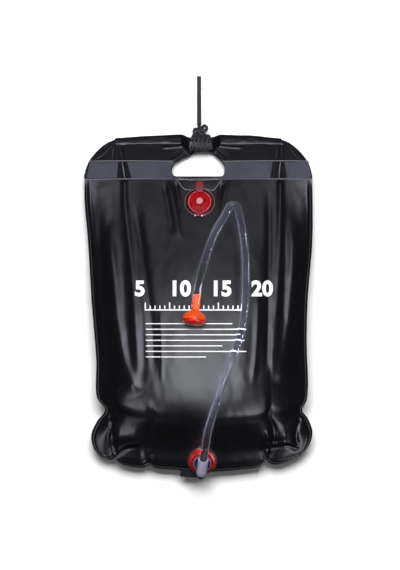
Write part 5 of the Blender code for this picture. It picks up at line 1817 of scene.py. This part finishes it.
@dataclass
class Outlet:
    """The outlet: weld disc, red flange, grey ring, and the grey elbow with its barb and end plug."""

    patch_radius: float = 0.0262
    patch: float = 0.0008
    flange_radius: float = 0.0244
    flange: float = 0.0030
    boss_radius: float = 0.0175
    boss: float = 0.0075
    spigot_radius: float = 0.0125
    spigot_depth: float = 0.0080
    gland_radius: float = 0.0156
    gland: float = 0.0035
    stem_radius: float = 0.0062
    elbow_radius: float = 0.0092
    front: float = 0.0145
    back: float = 0.0182
    barb_radius: float = 0.0047
    barb_bore: float = 0.0030
    barb_length: float = 0.0190
    barb_rib: float = 0.0005
    ribs: int = 3
    socket: float = 0.0120
    plug_radius: float = 0.0058
    plug_out: float = 0.0058
    turn: float = math.radians(-8)
    edge_radius: float = 0.0006

    @property
    def rise(self) -> float:
        """Height of the elbow's axis over the sheet."""
        return self.patch + self.boss + self.gland + 3 * FORM.gap + self.elbow_radius

    @property
    def swivel(self) -> Matrix:
        """The elbow's own frame: Z is the swivel axis."""
        return OUTLET_SEAT.place @ Matrix.Rotation(self.turn, 4, "Z")

    @property
    def along(self) -> Matrix:
        """The elbow's barrel frame: Z runs towards the hose."""
        return self.swivel @ Matrix.Translation((0, 0, self.rise)) @ Matrix.Rotation(-math.pi / 2, 4, "X")

    def build_fixed(self) -> None:
        """Weld disc, flange and ring, which stay with the bag."""
        inner = self.spigot_radius + FORM.gap
        outer = self.patch_radius
        disc = [(inner, self.patch), (outer, self.patch), (outer, 0), (inner, 0), (inner, self.patch)]
        bm = spun(rounded(disc, 0.0003)[:-1], OUTLET_SEAT.place, ring=True)
        Piece("weld_disc", Finishes.PATCH, replaces=("outlet_patch",)).publish(bm)
        # Pale ring round the weld disc's edge: painted highlight.
        edge = ring_bead(self.patch_radius - self.edge_radius, self.patch, self.edge_radius)
        Piece("weld_disc_edge", Finishes.DISC_EDGE_HIGHLIGHT).publish(spun(edge, OUTLET_SEAT.place, ring=True))
        low = self.patch + FORM.gap
        bore = self.stem_radius + FORM.gap
        boss_top = low + self.boss
        flange = [
            (bore, boss_top), (self.boss_radius * 0.90, boss_top),
            (self.boss_radius, boss_top - self.flange * 0.5),
            (self.boss_radius + 0.0012, low + self.flange * 1.25),
            (self.flange_radius - 0.0022, low + self.flange * 0.95),
            (self.flange_radius - 0.0004, low + self.flange * 0.90),
            (self.flange_radius, low + self.flange * 0.4), (self.flange_radius, low),
            (self.spigot_radius, low), (self.spigot_radius, -self.spigot_depth),
            (bore, -self.spigot_depth), (bore, boss_top),
        ]
        bm = spun(rounded(flange, 0.0008)[:-1], OUTLET_SEAT.place, ring=True)
        Piece("flange_red", Finishes.OUTLET, replaces=("outlet_flange",)).publish(bm)
        ring_low = boss_top + FORM.gap
        ring_top = ring_low + self.gland
        ring = [
            (bore, ring_top), (self.gland_radius * 0.92, ring_top),
            (self.gland_radius, ring_top - self.gland * 0.3), (self.gland_radius, ring_low),
            (bore, ring_low), (bore, ring_top),
        ]
        bm = spun(rounded(ring, 0.0005)[:-1], OUTLET_SEAT.place, ring=True)
        Piece("elbow_ring", Finishes.RING, replaces=("gland_ring",)).publish(bm)
        # Pale ring round the elbow ring's rim: painted highlight.
        edge = ring_bead(self.gland_radius - self.edge_radius, ring_top, self.edge_radius)
        Piece("elbow_ring_edge", Finishes.RING_EDGE_HIGHLIGHT).publish(spun(edge, OUTLET_SEAT.place, ring=True))

    def build_elbow(self) -> None:
        """The elbow's barrel and stem, the barb that the hose is pushed on, and the end plug."""
        barrel = [
            (self.barb_radius + FORM.gap, self.front - self.socket),
            (self.barb_radius + FORM.gap, self.front - 0.0032),
            (self.elbow_radius * 0.74, self.front - 0.0008), (self.elbow_radius * 0.90, self.front),
            (self.elbow_radius, self.front - 0.0010), (self.elbow_radius * 0.985, 0),
            (self.elbow_radius * 0.97, -self.back * 0.66), (self.elbow_radius * 0.84, -self.back * 0.88),
            (self.plug_radius + FORM.gap, -self.back),
            (self.plug_radius + FORM.gap, -self.back + self.socket / 2),
            (0.0, -self.back + self.socket / 2),
        ]
        closed = [(0.0, self.front - self.socket), *barrel]
        bm = spun(rounded(closed, 0.0010), self.along)
        Piece("elbow_barrel", Finishes.GREY, "elbow", replaces=("outlet_elbow",)).publish(bm)
        stem = [
            (0, self.rise - self.elbow_radius * 0.6),
            (self.stem_radius, self.rise - self.elbow_radius * 0.6),
            (self.stem_radius, -self.spigot_depth), (0, -self.spigot_depth),
        ]
        Piece("elbow_stem", Finishes.GREY, "elbow").publish(spun(stem, self.swivel, 64))
        low = self.front - self.socket + FORM.gap
        high = self.front + self.barb_length
        barb = [(self.barb_bore, low), (self.barb_bore, high), (self.barb_bore + self.barb_rib, high)]
        valley = self.barb_radius - self.barb_rib
        for i in range(self.ribs):
            top = high - i * self.barb_length / (self.ribs + 1)
            crest = top - self.barb_length / (self.ribs + 2)
            foot = crest - self.barb_rib / 2
            barb += [(valley, top - self.barb_rib), (self.barb_radius, crest), (valley, foot)]
        barb += [(valley, self.front), (valley, low), (self.barb_bore, low)]
        bm = spun(rounded(barb, 0.0003)[:-1], self.along, 64, ring=True)
        Piece("barb_black", Finishes.BLACK, "elbow", replaces=("hose_barb",)).publish(bm)
        plug_high = -self.back + self.socket / 2 - FORM.gap
        plug_low = -self.back - self.plug_out
        plug = [
            (0, plug_high), (self.plug_radius, plug_high),
            (self.plug_radius, plug_low + self.plug_out * 0.6),
            (self.plug_radius * 0.72, plug_low + self.plug_out * 0.12), (0, plug_low),
        ]
        bm = spun(rounded(plug, 0.0012), self.along, 64)
        Piece("end_plug_black", Finishes.BLACK, "elbow", replaces=("elbow_end_plug",)).publish(bm)

    def build(self) -> None:
        """Every piece of the outlet."""
        self.build_fixed()
        self.build_elbow()


@dataclass
class ShowerHead:
    """Orange head body with its stem, and the red rose under it."""

    stem_radius: float = 0.0058
    stem_length: float = 0.0420
    bore: float = 0.0038
    shoulder: float = 0.0170
    radius: float = 0.0210
    wall: float = 0.0020
    rim: float = 0.0030
    rose_height: float = 0.0095
    rose_wall: float = 0.0020
    skirt: float = 0.0052
    hole_radius: float = 0.0007
    hole_turn: float = math.radians(5)
    hole_rings: tuple = ((1, 0.0), (6, 0.36), (10, 0.70))
    seat: tuple[float, float] = (-0.050, 0.4605)
    turn: float = math.radians(-6)
    nod: float = math.radians(-8)

    @property
    def place(self) -> Matrix:
        """The head's own frame: Z runs up its stem."""
        spot = FORM.on_belly(*self.seat)
        spot.z += self.radius + FORM.gap * 2
        turn = Matrix.Rotation(self.turn, 4, "Z") @ Matrix.Rotation(self.nod, 4, "X")
        return Matrix.Translation(spot) @ turn @ Matrix.Rotation(-math.pi / 2, 4, "X")

    def build_body(self) -> None:
        """The head's bell and its stem."""
        inner = self.radius - self.wall
        room = self.skirt - self.rim
        profile = [
            (self.bore, self.stem_length), (self.stem_radius * 0.92, self.stem_length),
            (self.stem_radius, self.stem_length - 0.0012), (self.stem_radius, self.shoulder * 1.06),
            (self.stem_radius * 1.07, self.shoulder * 0.953), (self.radius * 0.405, self.shoulder * 0.776),
            (self.radius * 0.667, self.shoulder * 0.594), (self.radius * 0.924, self.shoulder * 0.318),
            (self.radius, 0), (self.radius, -self.rim), (inner, -self.rim), (inner, room),
            (inner * 0.78, self.shoulder * 0.32), (inner * 0.45, self.shoulder * 0.54),
            (self.bore, self.shoulder * 0.70), (self.bore, self.stem_length),
        ]
        bm = spun(rounded(profile, 0.0014)[:-1], self.place, ring=True)
        Piece("head_bell", Finishes.ORANGE, replaces=("head_body",), sharp=50).publish(bm)

    def build_rose(self) -> None:
        """The rose with its spray holes."""
        inner = self.radius - self.wall
        rim = -self.rim - FORM.gap
        low = rim - self.rose_height
        skirt = inner - FORM.gap
        top = self.skirt - self.rim - FORM.gap
        profile = [
            (skirt - self.rose_wall, top), (skirt, top), (skirt, rim), (self.radius * 0.985, rim),
            (self.radius * 0.945, rim - self.rose_height * 0.28),
            (self.radius * 0.80, rim - self.rose_height * 0.62),
            (self.radius * 0.52, rim - self.rose_height * 0.88), (0, low), (0, low + self.rose_wall),
            (self.radius * 0.40, low + self.rose_wall * 1.3),
            (self.radius * 0.66, rim - self.rose_height * 0.45),
            (skirt - self.rose_wall, rim - self.rose_height * 0.10), (skirt - self.rose_wall, top),
        ]
        bm = spun(rounded(profile, 0.0012)[:-1], self.place, ring=True)
        rose = Piece("rose_dome", Finishes.ROSE, "rose", replaces=("spray_rose",), sharp=50).publish(bm)
        cutter = bmesh.new()
        for count, share in self.hole_rings:
            for i in range(count):
                angle = 2 * math.pi * i / count + self.hole_turn
                reach = self.radius * share
                spot = Vector((reach * math.cos(angle), reach * math.sin(angle), low))
                matrix = self.place @ Matrix.Translation(spot)
                bmesh.ops.create_cone(
                    cutter, cap_ends=True, cap_tris=False, segments=12, radius1=self.hole_radius,
                    radius2=self.hole_radius, depth=self.rose_height * 2, matrix=matrix,
                )
        mesh = bpy.data.meshes.new("spray_cutter")
        cutter.to_mesh(mesh)
        cutter.free()
        holes = bpy.data.objects.new("spray_cutter", mesh)
        bpy.context.scene.collection.objects.link(holes)
        cut = rose.modifiers.new("Spray Holes", "BOOLEAN")
        cut.operation = "DIFFERENCE"
        cut.object = holes
        cut.solver = "EXACT"
        graph = bpy.context.evaluated_depsgraph_get()
        drilled = bpy.data.meshes.new_from_object(rose.evaluated_get(graph))
        rose.modifiers.clear()
        rose.data = drilled
        bpy.data.objects.remove(holes, do_unlink=True)

    def build(self) -> None:
        """Both pieces of the head."""
        self.build_body()
        self.build_rose()


@dataclass
class Hose:
    """Clear hose from the barb, over the belly in a long bend, to the head's stem."""

    radius: float = 0.00675
    bore: float = 0.00475
    on_stem: float = 0.0235
    stretched: float = 0.0080
    stretched_bore: float = 0.0059
    sides: int = 28
    step: float = 0.0032
    barb_shares: tuple = (0, 0.33, 0.66, 0.93)
    stem_shares: tuple = (0.12, 0.4, 0.7, 1.0)
    blend_point: int = 7

    def path(self, outlet: Outlet, head: ShowerHead) -> np.ndarray:
        """Middle of the hose from the elbow's mouth to its end on the stem.

        Args:
            outlet: the outlet that it starts from.
            head: the head that it ends on.

        Returns:
            The points.
        """
        mouth = outlet.along @ Vector((0, 0, outlet.front))
        barb_end = outlet.along @ Vector((0, 0, outlet.front + outlet.barb_length))
        over_barb = [tuple(mouth.lerp(barb_end, share)) for share in self.barb_shares]
        on_stem = [head.stem_length - self.on_stem * share for share in self.stem_shares]
        down_stem = [tuple(head.place @ Vector((0, 0, height))) for height in on_stem]
        return even_line(smooth_line([*over_barb, *HOSE_ROUTE, *down_stem], 6), self.step)

    def build(self, outlet: Outlet, head: ShowerHead) -> None:
        """The hose as a tube with a bore.

        Args:
            outlet: what it starts on.
            head: what it ends on.
        """
        path = self.path(outlet, head)
        lengths = line_lengths(path)
        to_end = lengths[-1] - lengths
        swell = 1 - smoothstep(self.on_stem - 0.001, self.on_stem + 0.008, to_end)
        outer = self.radius + (self.stretched - self.radius) * swell
        inner = self.bore + (self.stretched_bore - self.bore) * swell
        bm = swept(path, outer, self.sides, caps=False)
        absorb(bm, swept(path, inner, self.sides, caps=False))
        ends = [edge for edge in bm.edges if edge.is_boundary]
        for end in (path[0], path[-1]):
            rim = [e for e in ends if (e.verts[0].co - Vector(end)).length < 2 * self.stretched]
            bmesh.ops.bridge_loops(bm, edges=rim)
        hose = Piece("clear_hose", Finishes.HOSE, replaces=("hose",)).publish(bm, ride=False)
        hose.visible_shadow = False
        start = outlet.along @ Vector((0, 0, outlet.front + outlet.barb_length))
        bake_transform(hose)


@dataclass
class Rope:
    """Braided rope: turns round the gathered hem, the knot and the free line."""

    radius: float = 0.0028
    free_length: float = 0.0845
    free_swell: float = 1.22
    sides: int = 24
    step: float = 0.0008
    slant: float = 0.0030
    offset: float = 0.0016
    turns: int = 5
    pitch: float = 0.0073
    knot_length: float = 0.0215
    knot_height: float = 0.0150
    knot_hoist: float = 0.7
    turn_steps: int = 28
    line_spans: int = 8
    strands: int = 4
    lay: float = 80.0
    weave_depth: float = 0.05
    lead_in: tuple = ((-0.006, -0.004, -0.002), (-0.010, -0.0075, -0.0035))
    lead_out: tuple = ((0.0120, -0.0090, 0.0060), (0.0065, -0.0078, 0.0080))
    knot_path: tuple = (
        (0.0065, -0.0078, 0.0080), (0.0008, -0.0040, 0.0078), (-0.0042, 0.0012, 0.0062),
        (-0.0080, 0.0022, 0.0036), (-0.0096, -0.0022, 0.0022), (-0.0074, -0.0072, 0.0022),
        (-0.0010, -0.0074, 0.0014), (0.0044, -0.0040, -0.0020), (0.0044, 0.0022, -0.0030),
        (0.0052, 0.0062, 0.0006), (0.0088, 0.0082, 0.0034), (0.0122, 0.0056, 0.0048),
        (0.0118, 0.0014, 0.0052), (0.0080, -0.0012, 0.0058), (0.0034, 0.0002, 0.0056),
        (-0.0010, -0.0040, 0.0030), (-0.0030, -0.0030, -0.0030), (-0.0014, 0.0030, -0.0036),
        (-0.0006, 0.0105, -0.0015),
    )

    def weave(self, angle: np.ndarray, along: np.ndarray) -> np.ndarray:
        """Factor on the rope's radius where its strands cross.

        Args:
            angle: angles round the rope.
            along: places along it, in metres.

        Returns:
            The factors.
        """
        one = np.sin(self.strands * angle + 2 * math.pi * self.lay * along)
        other = np.sin(self.strands * angle - 2 * math.pi * self.lay * along)
        return 1 + self.weave_depth * np.maximum(one, other)

    def strand(self, path: np.ndarray, swell: float = 1.0) -> bmesh.types.BMesh:
        """A stretch of the rope along a path."""
        return swept(even_line(path, self.step), self.radius * swell, self.sides, section=self.weave)

    def build(self, header: Header) -> None:
        """Turns, knot and free line.

        Args:
            header: what the rope is wound round.
        """
        bundle = header.bundle_centre()
        radius = header.bundle_radius + FORM.gap + self.radius
        wide = header.bundle_wide + FORM.gap + self.radius
        half_turns = 2 * self.turns - 1
        knot_y = bundle.y + radius + self.radius + FORM.gap + self.knot_length / 2
        knot_z = self.knot_height / 2 + FORM.gap + header.hoist * self.knot_hoist
        knot = np.array((header.gather_offset / 2, knot_y, knot_z))
        steps = self.turn_steps
        wound = []
        for i in range(half_turns * steps // 2 + 1):
            angle = 2 * math.pi * i / steps + math.pi
            x = self.pitch * (i / steps - half_turns / 4) + self.slant * math.sin(angle)
            y = bundle.y + wide * math.sin(angle)
            wound.append((bundle.x + x, y, bundle.z + radius * math.cos(angle)))
        lead_in = [knot + np.array(spot) for spot in self.lead_in]
        lead_out = [knot + np.array(spot) for spot in self.lead_out]
        path = smooth_line([*lead_in, *wound, *lead_out], 3)
        Piece("rope_turns", Finishes.ROPE, replaces=("rope_wraps",), sharp=80).publish(self.strand(path))
        loops = smooth_line([knot + np.array(spot) for spot in self.knot_path], 6)
        Piece("rope_knot_loops", Finishes.ROPE, replaces=("rope_knot",), sharp=80).publish(self.strand(loops))
        start = knot_y + self.knot_length / 2 + FORM.gap
        rest = self.radius * self.free_swell + FORM.gap
        line = []
        for i in range(self.line_spans + 1):
            share = i / self.line_spans
            lift = (knot[2] - self.radius - FORM.gap) * (1 - share) ** 4
            line.append((self.offset, start + self.free_length * share, rest + lift))
        path = smooth_line(line, 6)
        free = Piece("rope_free_line", Finishes.ROPE, replaces=("rope_line",), sharp=80).publish(
            self.strand(path, self.free_swell)
        )
        float(line_lengths(path)[-1])


@dataclass
class Print:
    """White print on the belly: a plain scale of numbers, ticks and rules."""

    cell: float = 0.0035
    stand: float = 0.00016
    thickness: float = 0.00012
    numbers: tuple = (("5", 140), ("10", 180), ("15", 221), ("20", 262))
    number_row: float = 295.5
    number_size: float = 0.036
    number_weight: float = 0.0015
    number_spacing: float = 1.05
    ticks: int = 20
    tick_group: int = 5
    tick_left: float = 145.5
    tick_span: float = 97.0
    tick_row: float = 309.5
    tick_half: float = 0.55
    long_tick: float = 7.0
    short_tick: float = 4.0
    base_line: tuple = (144.9, 309.3, 243.1, 310.4)
    rule_left: float = 146.0
    rule_half: float = 0.45
    rules: tuple = (
        (323.5, 232), (329, 246), (334.5, 240), (340, 244), (345.5, 222), (351, 246), (356.5, 206),
    )

    def drape(self, bm: bmesh.types.BMesh, skin: BVHTree) -> None:
        """Drop a flat shape onto the skin.

        Args:
            bm: the shape.
            skin: the surface.
        """
        for vert in bm.verts:
            hit, _, _, _ = skin.ray_cast(Vector((vert.co.x, vert.co.y, 0.3)), Vector((0, 0, -1)))
            vert.co.z = hit.z + self.stand
        thicken(bm, self.thickness)

    def rectangle(self, left: float, top: float, right: float, bottom: float) -> np.ndarray:
        """A rectangle from photograph pixels."""
        spots = ((left, bottom), (right, bottom), (right, top), (left, top))
        return np.array([from_photo(spot) for spot in spots])

    def build_numbers(self, skin: BVHTree) -> None:
        """The large numbers across the belly.

        Args:
            skin: the sheet that they lie on.
        """
        for number, middle in self.numbers:
            text = bpy.data.curves.new("number", "FONT")
            text.body = number
            text.size = self.number_size
            text.align_x = "CENTER"
            text.offset = self.number_weight
            text.space_character = self.number_spacing
            bm = cells_from(text, self.cell)
            x, y = from_photo((middle, self.number_row))
            bmesh.ops.translate(bm, vec=(x, y, 0), verts=bm.verts)
            self.drape(bm, skin)
            Piece("print_number_" + number, Finishes.INK, flat=True).publish(bm)

    def build_rules(self, skin: BVHTree) -> None:
        """Ticks under the numbers, and plain rules below them.

        Args:
            skin: the sheet that they lie on.
        """
        ticks = []
        row = self.tick_row
        for i in range(self.ticks + 1):
            x = self.tick_left + self.tick_span * i / self.ticks
            height = self.short_tick if i % self.tick_group else self.long_tick
            ticks.append(self.rectangle(x - self.tick_half, row - height, x + self.tick_half, row))
        ticks.append(self.rectangle(*self.base_line))
        self.build_marks("print_ticks", ticks, skin)
        rules = []
        for row, right in self.rules:
            rules.append(self.rectangle(self.rule_left, row - self.rule_half, right, row + self.rule_half))
        self.build_marks("print_rules", rules, skin)

    def build_marks(self, name: str, shapes: Sequence[np.ndarray], skin: BVHTree) -> None:
        """Several flat marks as one piece.

        Args:
            name: the piece's name.
            shapes: outlines of the marks.
            skin: the sheet that they lie on.
        """
        whole = bmesh.new()
        for shape in shapes:
            bm = cut_flat([shape], self.cell)
            self.drape(bm, skin)
            absorb(whole, bm)
        Piece(name, Finishes.INK, flat=True).publish(whole)

    def build(self, skin_object: bpy.types.Object) -> None:
        """All of the print, laid on the skin.

        Args:
            skin_object: the skin.
        """
        graph = bpy.context.evaluated_depsgraph_get()
        skin = BVHTree.FromObject(skin_object, graph)
        self.build_numbers(skin)
        self.build_rules(skin)


@dataclass
class Trim:
    """The small tab under the bottom seam, and finishes for the hidden nodes that stay."""

    length: float = 0.032
    width: float = 0.016
    overlap: float = 0.0042
    thickness: float = 0.0012
    seat: tuple[float, float] = (-0.104, 0.994)
    turn: float = math.radians(-4)

    def build(self) -> None:
        """The tab, then the kept nodes' finishes."""
        edge = FORM.on_belly(*self.seat)
        edge.y -= self.width / 2 - self.overlap
        edge.z = float(FORM.seam_height(np.array(1.0))) - FORM.sheet - FORM.gap - self.thickness
        place = Matrix.Translation(edge) @ Matrix.Rotation(self.turn, 4, "Z")
        tab = rounded_block((self.length, self.width, self.thickness), place, 0.0012, 0.0003)
        Piece("seam_tab", Finishes.TAB, replaces=("bottom_tab",)).publish(tab)
        kept = {
            "cap_hinge_pin": Finishes.PIN, "valve_plunger": Finishes.ROSE, "plunger_seal": Finishes.RUBBER,
        }
        for node, finish in kept.items():
            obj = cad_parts[node]
            obj.data.materials.clear()
            obj.data.materials.append(finish.value.material())


REFLECTED_TINT = (0.95, 0.95, 1.10)


class LampUse(Enum):
    """What a lamp is for: mirrored in glossy surfaces only, or shading and shadows only."""

    REFLECTED = "reflected"
    SHADING = "shading"


class LampShape(Enum):
    """Outline of a flat lamp."""

    RECTANGLE = "RECTANGLE"
    ELLIPSE = "ELLIPSE"


@dataclass(frozen=True)
class Lamp:
    """A flat lamp aimed at the bag: its lean from the vertical along X and Y in degrees, size and power.

    A lamp lights only the pieces named in `only`, or every piece but those named in `spared`.
    """

    name: str
    lean_x: float
    lean_y: float
    size: tuple[float, float]
    distance: float
    power: float
    use: LampUse
    only: tuple[str, ...] = ()
    spared: tuple[str, ...] = ()
    shape: LampShape = LampShape.RECTANGLE

    def build(self) -> bpy.types.Object:
        """The lamp's object.

        Returns:
            The lamp.
        """
        light = bpy.data.lights.new(self.name, "AREA")
        light.shape = self.shape.value
        light.size, light.size_y = self.size
        light.energy = self.power
        if self.use is LampUse.REFLECTED:
            light.color = REFLECTED_TINT
        obj = bpy.data.objects.new(self.name, light)
        sideways = Matrix.Rotation(math.radians(self.lean_x), 4, "Y")
        lean = sideways @ Matrix.Rotation(math.radians(-self.lean_y), 4, "X")
        obj.matrix_world = lean @ Matrix.Translation((0, 0, self.distance))
        obj.visible_camera = False
        obj.visible_transmission = False
        obj.visible_glossy = self.use is LampUse.REFLECTED
        obj.visible_diffuse = self.use is LampUse.SHADING
        bpy.context.scene.collection.objects.link(obj)
        if self.only or self.spared:
            linked = bpy.data.collections.new(self.name + "_linked")
            for name in (*self.only, *self.spared):
                linked.objects.link(bpy.data.objects[name])
            obj.light_linking.receiver_collection = linked
            for entry in linked.collection_objects:
                entry.light_linking.link_state = "INCLUDE" if self.only else "EXCLUDE"
        return obj


@dataclass
class Studio:
    """Camera straight above, soft overhead light, pale floor."""

    lens: float = 300.0
    sensor: float = 36.0
    spot: tuple[float, float, float] = (0.0031, 0.0378, 8.325)
    lamps: tuple[Lamp, ...] = (
        Lamp("softbox", 0, 0.5, (2.1, 2.0), 3.0, 80.0, LampUse.REFLECTED, spared=("cap_shell", "clear_hose")),
        Lamp("dim_wall", 0, 31, (1.3, 0.75), 3.0, 3.0, LampUse.REFLECTED, spared=("cap_shell", "clear_hose")),
        Lamp(
            "lobe_left", -42.6, -31.2, (1.2, 1.2), 3.0, 16.0, LampUse.REFLECTED,
            spared=("cap_shell", "clear_hose", "header_sheet"), shape=LampShape.ELLIPSE,
        ),
        Lamp(
            "lobe_right", 36.0, -38.0, (1.3, 1.3), 3.0, 24.0, LampUse.REFLECTED,
            spared=("cap_shell", "clear_hose", "header_sheet"), shape=LampShape.ELLIPSE,
        ),
        Lamp("key", 0, 25, (2.0, 1.5), 3.2, 150.0, LampUse.SHADING),
        Lamp(
            "button_light", 0, 40.5, (1.3, 1.3), 2.4, 84.0, LampUse.REFLECTED, ("cap_shell",),
            shape=LampShape.ELLIPSE,
        ),
        Lamp("hose_left", -82, 0, (0.5, 3.0), 2.5, 50.0, LampUse.REFLECTED, ("clear_hose",)),
        Lamp("hose_right", 82, 0, (0.5, 3.0), 2.5, 200.0, LampUse.REFLECTED, ("clear_hose",)),
        Lamp("hose_top", 20, -4, (0.3, 1.2), 3.0, 260.0, LampUse.REFLECTED, ("clear_hose",)),
        Lamp(
            "rim_light", 0, -52, (0.9, 1.2), 2.0, 100.0, LampUse.REFLECTED,
            ("knuckle_left", "barrel_right"),
        ),
    )
    sky: float = 0.03
    fill: float = 0.10
    seen_through: float = 0.38

    def build_camera(self) -> None:
        """A long lens straight down on the bag."""
        camera = bpy.data.cameras.new("camera")
        camera.lens = self.lens
        camera.sensor_width = self.sensor
        camera.clip_end = 60
        obj = bpy.data.objects.new("camera", camera)
        obj.location = self.spot
        bpy.context.scene.collection.objects.link(obj)
        bpy.context.scene.camera = obj

    def build_lights(self) -> None:
        """Each lamp in its place."""
        for lamp in self.lamps:
            lamp.build()

    def build_world(self) -> None:
        """White to the camera, a dim room to reflections, and a soft fill for the rest."""
        world = bpy.data.worlds.new("room")
        bpy.context.scene.world = world
        world.use_nodes = True
        nodes = Nodes(world.node_tree)
        world.node_tree.nodes.clear()
        ray = nodes.add("LightPath").outputs
        room = nodes.add("Mix", {0: ray["Is Glossy Ray"]}, data_type="FLOAT")
        room.inputs[2].default_value = self.fill
        room.inputs[3].default_value = self.sky
        beyond = nodes.add("Mix", {0: ray["Is Transmission Ray"], 2: room.outputs[0]}, data_type="FLOAT")
        beyond.inputs[3].default_value = self.seen_through
        level = nodes.add("Mix", {0: ray["Is Camera Ray"], 2: beyond.outputs[0]}, data_type="FLOAT")
        level.inputs[3].default_value = 1.0
        back = nodes.add("Background", {"Color": (1, 1, 1, 1), "Strength": level.outputs[0]})
        out = nodes.add("OutputWorld")
        nodes.link(back.outputs[0], out.inputs["Surface"])

    def build_floor(self) -> None:
        """A wide pale floor."""
        bm = bmesh.new()
        bmesh.ops.create_grid(bm, x_segments=2, y_segments=2, size=12)
        mesh = bpy.data.meshes.new("floor")
        bm.to_mesh(mesh)
        bm.free()
        material = bpy.data.materials.new("pale_floor")
        material.use_nodes = True
        nodes = Nodes(material.node_tree)
        shader = material.node_tree.nodes["Principled BSDF"]
        coordinate = nodes.add("TexCoord").outputs["Object"]
        grain = nodes.add("TexNoise", {"Vector": coordinate, "Scale": 60.0, "Detail": 3.0})
        shade = nodes.add("MapRange", {"Value": grain.outputs["Fac"], "To Min": 0.95, "To Max": 0.97})
        nodes.link(shade.outputs[0], shader.inputs["Base Color"])
        shader.inputs["Roughness"].default_value = 0.9
        shader.inputs["Specular IOR Level"].default_value = 0.0
        shader.inputs["Emission Color"].default_value = (1, 1, 1, 1)
        shader.inputs["Emission Strength"].default_value = 0.03
        mesh.materials.append(material)
        floor = bpy.data.objects.new("floor", mesh)
        floor.location = (0, 0, -0.0003)
        floor.visible_glossy = False
        floor.visible_transmission = False
        bpy.context.scene.collection.objects.link(floor)

    def build(self) -> None:
        """Camera, lights, room and floor."""
        bpy.context.scene.view_settings.view_transform = "Standard"
        self.build_camera()
        self.build_lights()
        self.build_world()
        self.build_floor()


def main() -> None:
    """Build everything in order."""
    logging.basicConfig(level=logging.INFO, format="%(message)s")
    header = Header()
    skin = BagSkin().build()
    header.build()
    Filler().build()
    outlet = Outlet()
    outlet.build()
    head = ShowerHead()
    head.build()
    Hose().build(outlet, head)
    Rope().build(header)
    Print().build(skin)
    Trim().build()
    Studio().build()


if __name__ == "__main__":
    main()
